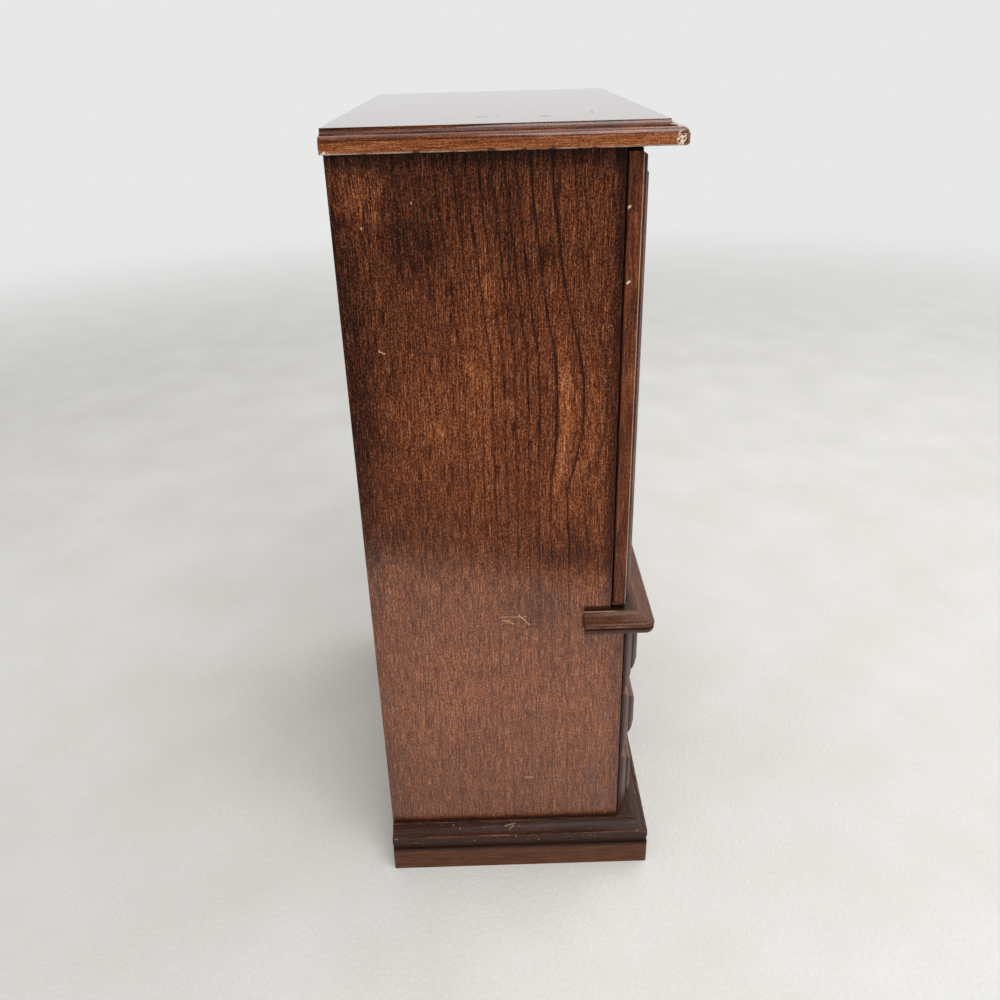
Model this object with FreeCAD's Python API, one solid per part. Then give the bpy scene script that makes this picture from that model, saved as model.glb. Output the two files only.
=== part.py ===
"""Jewelry cabinet: two glazed doors over three drawers, with a turning necklace carousel."""
import FreeCAD
import Part
import math
import os

# Carcass
carcass_width = 256.0
side_depth = 142.6
side_thickness = 9.5
door_setback = 8.0
drawer_zone_height = 146.2
door_zone_height = 245.0
housing_depth = 3.0
back_panel_thickness = 3.0
back_rebate_width = 4.0
back_panel_clearance = 0.2

# Top board
top_thickness = 10.4
top_overhang = 11.0
top_front_overhang = 18.0
top_corner_radius = 3.2
top_lower_chamfer = 0.7
top_quirk = 0.4
top_ovolo_radius = 2.7
top_ledge_width = 2.2
top_fillet_height = 0.4
top_cove_radius = 2.4

# Waist shelf
shelf_thickness = 11.5
shelf_overhang = 10.0
shelf_front_overhang = 16.0
shelf_horn_length = 23.1
shelf_horn_round = 1.2
shelf_corner_radius = 5.0
shelf_ovolo_radius = 3.6
shelf_quirk_depth = 1.2
shelf_quirk_height = 0.7
shelf_bead_radius = 1.65
shelf_fillet = 0.3
shelf_slope_rise = 0.5
shelf_cove_width = 3.4
shelf_cove_sag = 0.5
shelf_arris = 0.4

# Plinth
plinth_height = 30.5
plinth_overhang = 9.5
plinth_front_overhang = 19.1
plinth_rail_width = 24.0
plinth_corner_radius = 1.5
plinth_fascia_height = 16.4
plinth_groove_depth = 1.4
plinth_groove_height = 4.6
plinth_band_height = 4.4
plinth_band_chamfer = 0.5
plinth_cove_width = 6.6
plinth_cove_sag = 1.1
plinth_arris = 0.6
plinth_back_rail_thickness = 12.0
glue_block_size = 18.0
glue_block_height = 22.0

# Drawers
drawer_names = ("bottom_drawer", "middle_drawer", "top_drawer")
front_gap_below = 1.5
front_gap_between = 1.0
front_gap_above = 0.7
front_side_inset = 0.5
front_gap_behind = 0.5
front_thickness = 9.8
front_lip_thickness = 1.8
front_lip_width = 2.2
front_lip_chamfer = 0.5
front_step_height = 0.4
front_bevel_width = 6.4
front_bevel_rise = 3.8
front_bevel_bow = 0.3
front_ledge_width = 1.2
front_riser_height = 0.7
front_field_bevel_width = 4.5
front_field_bevel_bow = 0.5
front_field_step = 0.3
floor_rise = 4.0
box_side_thickness = 4.5
box_height = 36.0
box_side_clearance = 0.6
box_floor_clearance = 0.3
box_back_clearance = 4.0
box_joint_depth = 2.5
box_groove_depth = 2.0
box_groove_lift = 3.0
box_bottom_thickness = 2.5
partition_thickness = 3.0
partition_height = 24.0
partition_groove_depth = 1.2
partition_clearance = 0.1
ring_roll_width = 17.6
ring_roll_height = 20.0
ring_roll_crown = 5.5
ring_roll_count = 7

# Doors
door_gap_behind = 0.9
door_gap_outside = 0.3
door_gap_between = 1.2
door_member_width = 24.0
door_thickness = 11.1
door_lip_thickness = 7.2
door_lip_width = 0.9
door_lip_chamfer = 0.6
door_back_chamfer = 0.5
door_hinge_round = 1.5
door_outer_round = 1.8
door_flat_width = 6.7
door_inner_step = 0.4
door_inner_round = 1.6
door_field_width = 8.0
door_sight_thickness = 2.2
glass_thickness = 2.0
glass_rebate_width = 4.0
glass_rebate_depth = 4.7
glass_clearance = 0.3
bead_width = 5.0
bead_clearance = 0.1

# Pivot hinges and catches
pivot_inset = 3.0
leaf_thickness = 1.3
leaf_gap = 0.3
leaf_width = 6.0
leaf_length = 24.0
leaf_end_inset = 0.4
stud_diameter = 3.0
stud_running_clearance = 0.05
stud_end_clearance = 0.2
catch_width = 14.0
catch_depth = 9.0
catch_height = 9.0
catch_clearance = 0.3
catch_offset = 16.0
strike_width = 12.0
strike_height = 5.0
strike_thickness = 0.5
strike_lift = 1.0

# Knobs
knob_foot_diameter = 7.4
knob_foot_thickness = 1.3
knob_neck_diameter = 4.6
knob_neck_length = 7.5
knob_head_diameter = 12.0
knob_head_thickness = 5.0

# Necklace carousel
carousel_depth = 67.0
plate_width = 30.0
plate_thickness = 1.6
spindle_diameter = 5.0
spindle_clearance = 0.06
spindle_head_diameter = 8.0
spindle_head_thickness = 1.8
carousel_gap = 0.3
disc_diameter = 78.0
disc_thickness = 9.0
hook_count = 6
hook_width = 2.6
hook_thickness = 1.4
hook_stem_reach = 25.0
hook_tab_length = 7.0
hook_stem_length = 9.0
hook_bend_radius = 3.6
hook_tip_length = 2.5

# Linings
lining_clearance = 0.3
floor_pad_thickness = 3.0
back_lining_thickness = 1.8
drawer_lining_thickness = 1.6

# Heights of the levels, from the floor up
shelf_underside = plinth_height + drawer_zone_height
shelf_top = shelf_underside + shelf_thickness
top_underside = shelf_top + door_zone_height

# Depths, measured forward from the back plane
upper_depth = side_depth - door_setback
top_depth = side_depth + top_front_overhang
shelf_depth = side_depth + shelf_front_overhang
horn_back = side_depth - shelf_horn_length
plinth_depth = side_depth + plinth_front_overhang
front_back = side_depth + front_gap_behind
front_face = front_back + front_thickness
door_back = upper_depth + door_gap_behind
door_face = door_back + door_thickness
knob_length = knob_foot_thickness + knob_neck_length + knob_head_thickness
overall_depth = front_face + knob_length

# Half widths
half_carcass = carcass_width / 2
half_inside = half_carcass - side_thickness
half_top = half_carcass + top_overhang
half_shelf = half_carcass + shelf_overhang
half_plinth = half_carcass + plinth_overhang

# Drawer openings
front_height = (drawer_zone_height - front_gap_below - front_gap_above - 2 * front_gap_between) / 3
front_pitch = front_height + front_gap_between
divider_thickness = floor_rise + front_gap_between
bottom_board_thickness = floor_rise + front_gap_below
half_front = half_carcass - front_side_inset
half_box = half_inside - box_side_clearance
half_box_inside = half_box - box_side_thickness
box_back = back_panel_thickness + box_back_clearance

# Doors
door_end_gap = 2 * leaf_thickness + leaf_gap
door_bottom = shelf_top + door_end_gap
door_top = top_underside - door_end_gap
door_outer = half_carcass - door_gap_outside
door_inner = door_gap_between / 2
door_width = door_outer - door_inner
door_height = door_top - door_bottom
glass_seat = door_back + glass_rebate_depth
pivot_x = door_outer - pivot_inset
pivot_depth = door_back + door_lip_thickness / 2


def at(x, depth, z):
    """A point given by its depth forward of the back plane."""
    return FreeCAD.Vector(x, overall_depth / 2 - depth, z)


def block(x_span, depth_span, z_span):
    """A box between two x values, two depths and two heights."""
    corner = at(min(x_span), max(depth_span), min(z_span))
    size = [max(span) - min(span) for span in (x_span, depth_span, z_span)]
    return Part.makeBox(size[0], size[1], size[2], corner)


def post(x, depth, z, diameter, height):
    """An upright cylinder standing on z, or hanging from it if the height is negative."""
    base = at(x, depth, min(z, z + height))
    return Part.makeCylinder(diameter / 2, abs(height), base)


def arc(start, end, centre):
    """An arc step: the middle point on the circle about centre, and the end."""
    middle = ((start[0] + end[0]) / 2 - centre[0], (start[1] + end[1]) / 2 - centre[1])
    radius = math.hypot(start[0] - centre[0], start[1] - centre[1])
    stretch = radius / math.hypot(*middle)
    return ((centre[0] + middle[0] * stretch, centre[1] + middle[1] * stretch), end)


def bow(start, end, rise):
    """An arc step whose middle stands to the left of the straight line by rise."""
    along = (end[0] - start[0], end[1] - start[1])
    length = math.hypot(*along)
    middle = ((start[0] + end[0]) / 2 - along[1] / length * rise,
              (start[1] + end[1]) / 2 + along[0] / length * rise)
    return (middle, end)


def face(steps, place):
    """A flat face inside a closed outline of points and arc steps."""
    edges = []
    here = steps[0]
    for step in steps[1:] + [steps[0]]:
        if isinstance(step[0], tuple):
            middle, end = step
            edges.append(Part.Arc(place(*here), place(*middle), place(*end)).toShape())
        else:
            end = step
            edges.append(Part.LineSegment(place(*here), place(*end)).toShape())
        here = end
    return Part.Face(Part.Wire(edges))


def bar(section, place, length):
    """A straight bar: its section in (inset, rise), placed by (along, inset, rise)."""
    end = face(section, lambda inset, rise: place(0.0, inset, rise))
    return end.extrude(place(length, 0.0, 0.0) - place(0.0, 0.0, 0.0))


def moulded_bar(profile, far, place, length):
    """A bar with a moulded edge at inset 0 and a plain side at inset far."""
    field = profile[-1][1]
    if isinstance(field, tuple):
        field = field[1]
    return bar(profile + [(far, field), (far, 0.0)], place, length)


def mitred(piece, place, length, width, rise):
    """The piece with both ends cut at 45 degrees towards its inner side."""
    plan = [(0.0, 0.0), (length, 0.0), (length - width, width), (width, width)]
    shape = face(plan, lambda along, inset: place(along, inset, -1.0))
    depth = place(0.0, 0.0, rise + 2.0) - place(0.0, 0.0, 0.0)
    return piece.common(shape.extrude(depth))


def shared(pieces):
    """What all the pieces have in common."""
    result = pieces[0]
    for piece in pieces[1:]:
        result = result.common(piece)
    return result


def round_corner(board, profile, radius, centre_x, centre_depth, base):
    """The board with its moulding carried round a plan corner instead of mitred."""
    side = math.copysign(1.0, centre_x)
    top = board.BoundBox.ZMax

    def place(inset, rise):
        return at(centre_x + radius - inset, centre_depth, base + rise)

    far = 2 * radius + profile_width(profile)
    section = face(profile + [(far, top - base), (far, 0.0)], place)
    keep = face([(-1.0, -1.0), (radius, -1.0), (radius, top - base + 1.0), (-1.0, top - base + 1.0)], place)
    outer_part = section.common(keep).Faces[0]
    turned = outer_part.revolve(at(centre_x, centre_depth, base), FreeCAD.Vector(0, 0, 1), 360)
    quadrant = block((centre_x, centre_x + side * 2 * radius),
                     (centre_depth, centre_depth + 2 * radius), (base - 1.0, top + 1.0))
    return board.cut(quadrant).fuse(Part.Solid(turned.Shells[0]).common(quadrant))


def profile_width(profile):
    """The inset at which a profile reaches its field."""
    last = profile[-1]
    return last[1][0] if isinstance(last[0], tuple) else last[0]


def top_profile():
    """Top board's edge: fascia, ovolo, ledge and cove."""
    ovolo_base = top_thickness - top_cove_radius - top_fillet_height - top_ovolo_radius
    ovolo_start = (top_quirk, ovolo_base)
    ovolo_end = (top_quirk + top_ovolo_radius, ovolo_base + top_ovolo_radius)
    cove_inset = ovolo_end[0] + top_ledge_width
    cove_start = (cove_inset, top_thickness - top_cove_radius)
    cove_end = (cove_inset + top_cove_radius, top_thickness)
    return [
        (top_lower_chamfer, 0.0),
        (0.0, top_lower_chamfer),
        (0.0, ovolo_base),
        ovolo_start,
        arc(ovolo_start, ovolo_end, (ovolo_end[0], ovolo_start[1])),
        (cove_inset, ovolo_end[1]),
        cove_start,
        arc(cove_start, cove_end, (cove_inset, top_thickness)),
    ]


def shelf_profile():
    """Waist shelf's edge: ovolo below, quirk, bead, sloping ledge and shallow cove above.

    The ledge ends on the axis of the rounded plan corner, so that only straight mouldings are mitred.
    """
    ovolo_inset = shelf_fillet
    ovolo_start = (ovolo_inset + shelf_ovolo_radius, 0.0)
    ovolo_end = (ovolo_inset, shelf_ovolo_radius)
    quirk_base = shelf_ovolo_radius + shelf_fillet
    bead_base = quirk_base + shelf_quirk_height
    bead_top = bead_base + 2 * shelf_bead_radius
    slope_start = (shelf_bead_radius + shelf_fillet, bead_top + shelf_fillet)
    cove_start = (shelf_corner_radius, slope_start[1] + shelf_slope_rise)
    cove_end = (cove_start[0] + shelf_cove_width, shelf_thickness - shelf_arris)
    return [
        ovolo_start,
        arc(ovolo_start, ovolo_end, (ovolo_start[0], shelf_ovolo_radius)),
        (ovolo_inset, quirk_base),
        (shelf_quirk_depth, quirk_base),
        (shelf_quirk_depth, bead_base),
        (shelf_bead_radius, bead_base),
        arc((shelf_bead_radius, bead_base), (0.0, bead_base + shelf_bead_radius),
            (shelf_bead_radius, bead_base + shelf_bead_radius)),
        arc((0.0, bead_base + shelf_bead_radius), (shelf_bead_radius, bead_top),
            (shelf_bead_radius, bead_base + shelf_bead_radius)),
        (slope_start[0], bead_top),
        slope_start,
        cove_start,
        bow(cove_start, cove_end, -shelf_cove_sag),
        (cove_end[0], shelf_thickness),
    ]


def plinth_profile():
    """Plinth's outer face: fascia, groove, flat band and cove."""
    band_base = plinth_fascia_height + plinth_groove_height
    band_top = band_base + plinth_band_height
    cove_start = (plinth_groove_depth, band_top)
    cove_end = (cove_start[0] + plinth_cove_width, plinth_height - plinth_arris)
    return [
        (0.0, 0.0),
        (0.0, plinth_fascia_height),
        (plinth_groove_depth, plinth_fascia_height),
        (plinth_groove_depth, band_base),
        (0.0, band_base),
        (0.0, band_top - plinth_band_chamfer),
        (plinth_band_chamfer, band_top),
        cove_start,
        bow(cove_start, cove_end, -plinth_cove_sag),
        (cove_end[0], plinth_height),
    ]


def front_profile():
    """Drawer front's edge: lip, bevel, ledge, second bevel and raised field."""
    bevel_start = (front_lip_width, front_lip_thickness + front_step_height)
    bevel_end = (front_lip_width + front_bevel_width, bevel_start[1] + front_bevel_rise)
    ledge_end = (bevel_end[0] + front_ledge_width, bevel_end[1])
    second_start = (ledge_end[0], ledge_end[1] + front_riser_height)
    second_end = (second_start[0] + front_field_bevel_width, front_thickness - front_field_step)
    return [
        (0.0, 0.0),
        (0.0, front_lip_thickness - front_lip_chamfer),
        (front_lip_chamfer, front_lip_thickness),
        (front_lip_width, front_lip_thickness),
        bevel_start,
        bow(bevel_start, bevel_end, front_bevel_bow),
        ledge_end,
        second_start,
        bow(second_start, second_end, front_field_bevel_bow),
        (second_end[0], front_thickness),
    ]


def door_section(edge):
    """A door member's whole section, from its outer edge to the glass rebate."""
    back_edge = [(door_back_chamfer, 0.0), (0.0, door_back_chamfer)]
    if edge == "hinge":
        back_start = (door_hinge_round, 0.0)
        back_end = (0.0, door_hinge_round)
        back_edge = [back_start, arc(back_start, back_end, (door_hinge_round, door_hinge_round))]
    outer_start = (door_lip_width, door_lip_thickness)
    outer_end = (door_lip_width + door_outer_round, door_lip_thickness + door_outer_round)
    flat_end = (outer_end[0] + door_flat_width, outer_end[1])
    inner_start = (flat_end[0], door_thickness - door_inner_round)
    inner_end = (flat_end[0] + door_inner_round, door_thickness)
    field_end = (inner_end[0] + door_field_width, door_thickness)
    sight_front = (door_member_width, glass_rebate_depth + door_sight_thickness)
    rebate = door_member_width - glass_rebate_width
    return back_edge + [
        (0.0, door_lip_thickness - door_lip_chamfer),
        (door_lip_chamfer, door_lip_thickness),
        outer_start,
        arc(outer_start, outer_end, (outer_end[0], outer_start[1])),
        flat_end,
        inner_start,
        arc(inner_start, inner_end, (inner_end[0], inner_start[1])),
        field_end,
        bow(field_end, sight_front, -door_inner_step),
        (door_member_width, glass_rebate_depth),
        (rebate, glass_rebate_depth),
        (rebate, 0.0),
    ]


def top_board():
    """Top board, moulded on the front and both sides and square at the back."""
    profile = top_profile()
    width = 2 * half_top
    board = shared([
        moulded_bar(profile, width, lambda t, i, r: at(-half_top + i, t, top_underside + r), top_depth),
        moulded_bar(profile, width, lambda t, i, r: at(half_top - i, t, top_underside + r), top_depth),
        moulded_bar(profile, top_depth, lambda t, i, r: at(t - half_top, top_depth - i, top_underside + r), width),
    ])
    for side in (-1, 1):
        centre = side * (half_top - top_corner_radius)
        board = round_corner(board, profile, top_corner_radius, centre, top_depth - top_corner_radius,
                             top_underside)
    return board.removeSplitter()


def waist_shelf():
    """Waist shelf: moulded board, housed between the sides, whose horns return along them."""
    profile = shelf_profile()
    width = 2 * half_shelf
    length = shelf_depth - back_panel_thickness
    board = shared([
        moulded_bar(profile, width,
                    lambda t, i, r: at(-half_shelf + i, t + back_panel_thickness, shelf_underside + r), length),
        moulded_bar(profile, width,
                    lambda t, i, r: at(half_shelf - i, t + back_panel_thickness, shelf_underside + r), length),
        moulded_bar(profile, length, lambda t, i, r: at(t - half_shelf, shelf_depth - i, shelf_underside + r), width),
    ])
    half_body = half_inside + housing_depth
    for side in (-1, 1):
        centre = side * (half_shelf - shelf_corner_radius)
        board = round_corner(board, profile, shelf_corner_radius, centre, shelf_depth - shelf_corner_radius,
                             shelf_underside)
        beside = block((side * half_body, side * (half_shelf + 1.0)), (0.0, horn_back),
                       (shelf_underside - 1.0, shelf_top + 1.0))
        board = board.cut(beside)
        board = board.cut(horn_end_round(side))
    return board.removeSplitter()


def horn_end_round(side):
    """The sliver that rounds a horn's outer back corner."""
    radius = shelf_horn_round
    edge = side * half_shelf
    inner = edge - side * radius
    z_span = (shelf_underside - 1.0, shelf_top + 1.0)
    corner = block((inner, edge), (horn_back, horn_back + radius), z_span)
    drum = post(inner, horn_back + radius, z_span[0], 2 * radius, z_span[1] - z_span[0])
    return corner.cut(drum)


def plinth_outline():
    """The plinth's plan with its two rounded front corners, as a solid prism."""
    outline = block((-half_plinth, half_plinth), (0.0, plinth_depth), (-1.0, plinth_height + 1.0))
    edges = [edge for edge in outline.Edges
             if abs(edge.BoundBox.YMin - at(0, plinth_depth, 0).y) < 0.01 and edge.BoundBox.ZLength > 1.0]
    return outline.makeFillet(plinth_corner_radius, edges)


def plinth_front_rail():
    """Plinth's front rail, mitred at both ends."""
    width = 2 * half_plinth
    place = lambda t, i, r: at(t - half_plinth, plinth_depth - i, r)
    rail = moulded_bar(plinth_profile(), plinth_rail_width, place, width)
    return mitred(rail, place, width, plinth_rail_width, plinth_height).common(plinth_outline())


def plinth_side_rail(side):
    """Plinth's side rail, mitred at the front and square at the back."""
    place = lambda t, i, r: at(side * (half_plinth - i), t, r)
    rail = moulded_bar(plinth_profile(), plinth_rail_width, place, plinth_depth)
    plan = [(0.0, 0.0), (plinth_depth, 0.0), (plinth_depth - plinth_rail_width, plinth_rail_width),
            (0.0, plinth_rail_width)]
    shape = face(plan, lambda along, inset: place(along, inset, -1.0))
    cut = shape.extrude(FreeCAD.Vector(0, 0, plinth_height + 2.0))
    return rail.common(cut).common(plinth_outline())


def plinth_back_rail():
    """Plinth's plain back rail between the side rails."""
    half_rail = half_plinth - plinth_rail_width
    return block((-half_rail, half_rail), (0.0, plinth_back_rail_thickness), (0.0, plinth_height))


def plinth_glue_blocks():
    """Four triangular blocks glued in the plinth's inner corners, under the bottom board."""
    half_rail = half_plinth - plinth_rail_width
    front = plinth_depth - plinth_rail_width
    blocks = []
    for side in (-1, 1):
        for corner, inward in ((plinth_back_rail_thickness, 1), (front, -1)):
            points = [(side * half_rail, corner), (side * (half_rail - glue_block_size), corner),
                      (side * half_rail, corner + inward * glue_block_size)]
            plan = face(points, lambda x, depth: at(x, depth, plinth_height - glue_block_height))
            blocks.append(plan.extrude(FreeCAD.Vector(0, 0, glue_block_height)))
    return Part.makeCompound(blocks)


def divider_levels():
    """Heights of the undersides of the two boards between the drawers."""
    first = plinth_height + front_gap_below + front_height
    return [first, first + front_pitch]


def side_panel(side):
    """Side panel, set back above for the door and notched for the shelf's horn."""
    outline = [
        (0.0, plinth_height), (side_depth, plinth_height), (side_depth, shelf_underside),
        (horn_back, shelf_underside), (horn_back, shelf_top), (upper_depth, shelf_top),
        (upper_depth, top_underside), (0.0, top_underside),
    ]
    panel = face(outline, lambda depth, z: at(side * half_inside, depth, z))
    panel = panel.extrude(FreeCAD.Vector(side * side_thickness, 0, 0))
    housed = half_inside + housing_depth
    x_span = (side * (half_inside - 1.0), side * housed)
    levels = [(plinth_height, bottom_board_thickness), (shelf_underside, shelf_thickness)]
    levels += [(level, divider_thickness) for level in divider_levels()]
    for level, thickness in levels:
        front = horn_back if level == shelf_underside else side_depth
        panel = panel.cut(block(x_span, (back_panel_thickness, front + 1.0), (level, level + thickness)))
    rebate_x = (side * (half_inside - 1.0), side * (half_inside + back_rebate_width))
    return panel.cut(block(rebate_x, (-1.0, back_panel_thickness), (plinth_height - 1.0, top_underside + 1.0)))


def housed_board(level, thickness):
    """A board between the sides, let into their housings, from the back panel to the front edge."""
    half = half_inside + housing_depth
    return block((-half, half), (back_panel_thickness, side_depth), (level, level + thickness))


def back_panel():
    """Thin back panel in the rebates of the two sides."""
    half = half_inside + back_rebate_width - back_panel_clearance
    return block((-half, half), (0.0, back_panel_thickness), (plinth_height, top_underside))


def member_place(side, edge):
    """Placing function and length of one of a door's four mitred members."""
    if edge == "hinge":
        return lambda t, i, r: at(side * (door_outer - i), door_back + r, door_bottom + t), door_height
    if edge == "meeting":
        return lambda t, i, r: at(side * (door_inner + i), door_back + r, door_bottom + t), door_height
    if edge == "top":
        return lambda t, i, r: at(side * (door_inner + t), door_back + r, door_top - i), door_width
    return lambda t, i, r: at(side * (door_inner + t), door_back + r, door_bottom + i), door_width


def door_member(side, edge):
    """One mitred member of a door frame."""
    place, length = member_place(side, edge)
    member = bar(door_section(edge), place, length)
    return mitred(member, place, length, door_member_width, door_thickness)


def knob_offset():
    """Distance of a door knob from the cabinet's middle: the middle of the stile's raised field."""
    field_start = door_lip_width + door_outer_round + door_flat_width + door_inner_round
    return door_inner + field_start + door_field_width / 2


def knob_level():
    """Height of the door knobs."""
    return (door_bottom + door_top) / 2


def door_glass(side):
    """Glass pane in the door's rebate."""
    inset = door_member_width - glass_rebate_width + glass_clearance
    x_span = (side * (door_inner + inset), side * (door_outer - inset))
    return block(x_span, (glass_seat - glass_thickness, glass_seat), (door_bottom + inset, door_top - inset))


def glazing_beads(side):
    """Four mitred beads that hold the glass from behind."""
    rebate = door_member_width - glass_rebate_width + bead_clearance
    depth = glass_rebate_depth - glass_thickness
    section = [(0.0, 0.0), (0.0, depth), (bead_width, depth), (bead_width, depth - 1.0),
               bow((bead_width, depth - 1.0), (bead_width - depth + 1.0, 0.0), -0.4)]
    beads = []
    for edge in ("hinge", "meeting", "top", "bottom"):
        member, length = member_place(side, edge)
        place = lambda t, i, r, member=member: member(t + rebate, i + rebate, r)
        bead = bar(section, place, length - 2 * rebate)
        beads.append(mitred(bead, place, length - 2 * rebate, bead_width, depth))
    return Part.makeCompound(beads)


def leaf_block(side, z_span):
    """A hinge leaf's plate: as narrow as the door's edge allows, from near the door's corner inwards."""
    outer = door_outer - leaf_end_inset
    return block((side * (outer - leaf_length), side * outer),
                 (pivot_depth - leaf_width / 2, pivot_depth + leaf_width / 2), z_span)


def board_leaves():
    """Four fixed hinge leaves with their studs: two under the top board, two on the waist shelf."""
    stud_length = leaf_gap + leaf_thickness - stud_end_clearance
    leaves = []
    for side in (-1, 1):
        for level, way in ((top_underside, -1), (shelf_top, 1)):
            inner = level + way * leaf_thickness
            stud = post(side * pivot_x, pivot_depth, inner, stud_diameter, way * stud_length)
            leaves.append(leaf_block(side, (level, inner)).fuse(stud).removeSplitter())
    return Part.makeCompound(leaves)


def door_leaves(side):
    """A door's two hinge leaves, let over the studs of the fixed ones."""
    leaves = []
    for level, way in ((door_top, 1), (door_bottom, -1)):
        leaf = leaf_block(side, (level, level + way * leaf_thickness))
        hole = post(side * pivot_x, pivot_depth, level, stud_diameter + 2 * stud_running_clearance,
                    way * leaf_thickness)
        leaves.append(leaf.cut(hole))
    return Part.makeCompound(leaves)


def door_catches():
    """Two magnetic catches under the top board, one behind each door."""
    front = door_back - strike_thickness - catch_clearance
    return Part.makeCompound([
        block((side * (catch_offset - catch_width / 2), side * (catch_offset + catch_width / 2)),
              (front - catch_depth, front), (top_underside - catch_height, top_underside))
        for side in (-1, 1)
    ])


def strike_plate(side):
    """Thin steel plate on the back of a door, opposite its catch."""
    x_span = (side * (catch_offset - strike_width / 2), side * (catch_offset + strike_width / 2))
    top = door_top - strike_lift
    return block(x_span, (door_back - strike_thickness, door_back), (top - strike_height, top))


def knob(x, depth, z):
    """Turned brass knob: foot, neck and drum-shaped head."""
    foot = knob_foot_diameter / 2
    neck = knob_neck_diameter / 2
    head = knob_head_diameter / 2
    neck_end = knob_foot_thickness + knob_neck_length
    profile = [
        (0.0, 0.0),
        (foot, 0.0),
        (foot, knob_foot_thickness),
        (neck, knob_foot_thickness),
        (neck, neck_end),
        (head, neck_end),
        (head, knob_length),
        (0.0, knob_length),
    ]
    outline = face(profile, lambda radius, out: at(x + radius, depth + out, z))
    return outline.revolve(at(x, depth, z), FreeCAD.Vector(0, 1, 0), 360)


def drawer_front(level, grooves):
    """Drawer front with four moulded edges, grooved behind for the box."""
    profile = front_profile()
    width = 2 * half_front
    top = level + front_height
    front = shared([
        moulded_bar(profile, width, lambda t, i, r: at(-half_front + i, front_back + r, level + t), front_height),
        moulded_bar(profile, width, lambda t, i, r: at(half_front - i, front_back + r, level + t), front_height),
        moulded_bar(profile, front_height, lambda t, i, r: at(t - half_front, front_back + r, level + i), width),
        moulded_bar(profile, front_height, lambda t, i, r: at(t - half_front, front_back + r, top - i), width),
    ])
    floor = level + floor_rise + box_floor_clearance
    for side in (-1, 1):
        x_span = (side * half_box_inside, side * half_box)
        front = front.cut(block(x_span, (front_back - 1.0, front_back + box_joint_depth), (floor, floor + box_height)))
    bottom = floor + box_groove_lift
    half = half_box_inside + box_groove_depth
    front = front.cut(block((-half, half), (front_back - 1.0, front_back + box_groove_depth),
                            (bottom, bottom + box_bottom_thickness)))
    for groove in grooves:
        front = front.cut(groove)
    return front


def box_sides(level):
    """A drawer's two sides, grooved for the bottom and rebated for the back."""
    floor = level + floor_rise + box_floor_clearance
    sides = []
    for side in (-1, 1):
        board = block((side * half_box_inside, side * half_box), (box_back, front_back + box_joint_depth),
                      (floor, floor + box_height))
        x_span = (side * (half_box_inside - 1.0), side * (half_box_inside + box_groove_depth))
        groove_base = floor + box_groove_lift
        board = board.cut(block(x_span, (box_back - 1.0, side_depth + front_thickness),
                                (groove_base, groove_base + box_bottom_thickness)))
        board = board.cut(block(x_span, (box_back - 1.0, box_back + box_side_thickness),
                                (groove_base, floor + box_height + 1.0)))
        sides.append(board)
    return Part.makeCompound(sides)


def box_back_board(level, grooves):
    """A drawer's back, standing on the bottom between the rebated sides."""
    floor = level + floor_rise + box_floor_clearance
    half = half_box_inside + box_groove_depth
    base = floor + box_groove_lift + box_bottom_thickness
    board = block((-half, half), (box_back, box_back + box_side_thickness), (base, floor + box_height))
    for groove in grooves:
        board = board.cut(groove)
    return board


def box_bottom(level):
    """A drawer's thin bottom, in the grooves of the sides and the front."""
    base = level + floor_rise + box_floor_clearance + box_groove_lift
    half = half_box_inside + box_groove_depth
    return block((-half, half), (box_back, front_back + box_groove_depth), (base, base + box_bottom_thickness))


def bottom_surface(level):
    """Height of the top of a drawer's bottom."""
    return level + floor_rise + box_floor_clearance + box_groove_lift + box_bottom_thickness


def drawer_lining(level):
    """Padded lining on a drawer's bottom."""
    base = bottom_surface(level) + lining_clearance
    half = half_box_inside - lining_clearance
    depth_span = (box_back + box_side_thickness + lining_clearance, front_back - lining_clearance)
    return block((-half, half), depth_span, (base, base + drawer_lining_thickness))


def partition_base(level):
    """Height on which a drawer's partitions stand."""
    return bottom_surface(level) + drawer_lining_thickness + 2 * lining_clearance


def fore_and_aft_partition(level, allowance):
    """A partition from front to back at the drawer's middle, or its grooves with an allowance."""
    half = partition_thickness / 2 + allowance
    base = partition_base(level) - allowance
    depth_span = (box_back + box_side_thickness - partition_groove_depth, front_back + partition_groove_depth)
    return block((-half, half), depth_span, (base, base + partition_height + 2 * allowance))


def cross_partition(level):
    """A partition from side to side at the middle of the drawer's depth."""
    middle = (box_back + box_side_thickness + front_back) / 2
    half = half_box_inside - partition_clearance
    base = partition_base(level)
    depth_span = (middle - partition_thickness / 2, middle + partition_thickness / 2)
    return block((-half, half), depth_span, (base, base + partition_height))


def crossed_partitions(level):
    """Two partitions halved over each other, which part the drawer in four."""
    long_one = cross_partition(level)
    short_one = fore_and_aft_partition(level, 0.0)
    middle = partition_base(level) + partition_height / 2
    half = partition_thickness / 2 + partition_clearance
    depth = (long_one.BoundBox.YMin + long_one.BoundBox.YMax) / 2
    centre = overall_depth / 2 - depth
    lap = (centre - half, centre + half)
    long_one = long_one.cut(block((-half, half), lap, (middle, middle + partition_height)))
    short_one = short_one.cut(block((-half, half), lap, (middle - partition_height, middle)))
    return Part.makeCompound([long_one, short_one])


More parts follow.
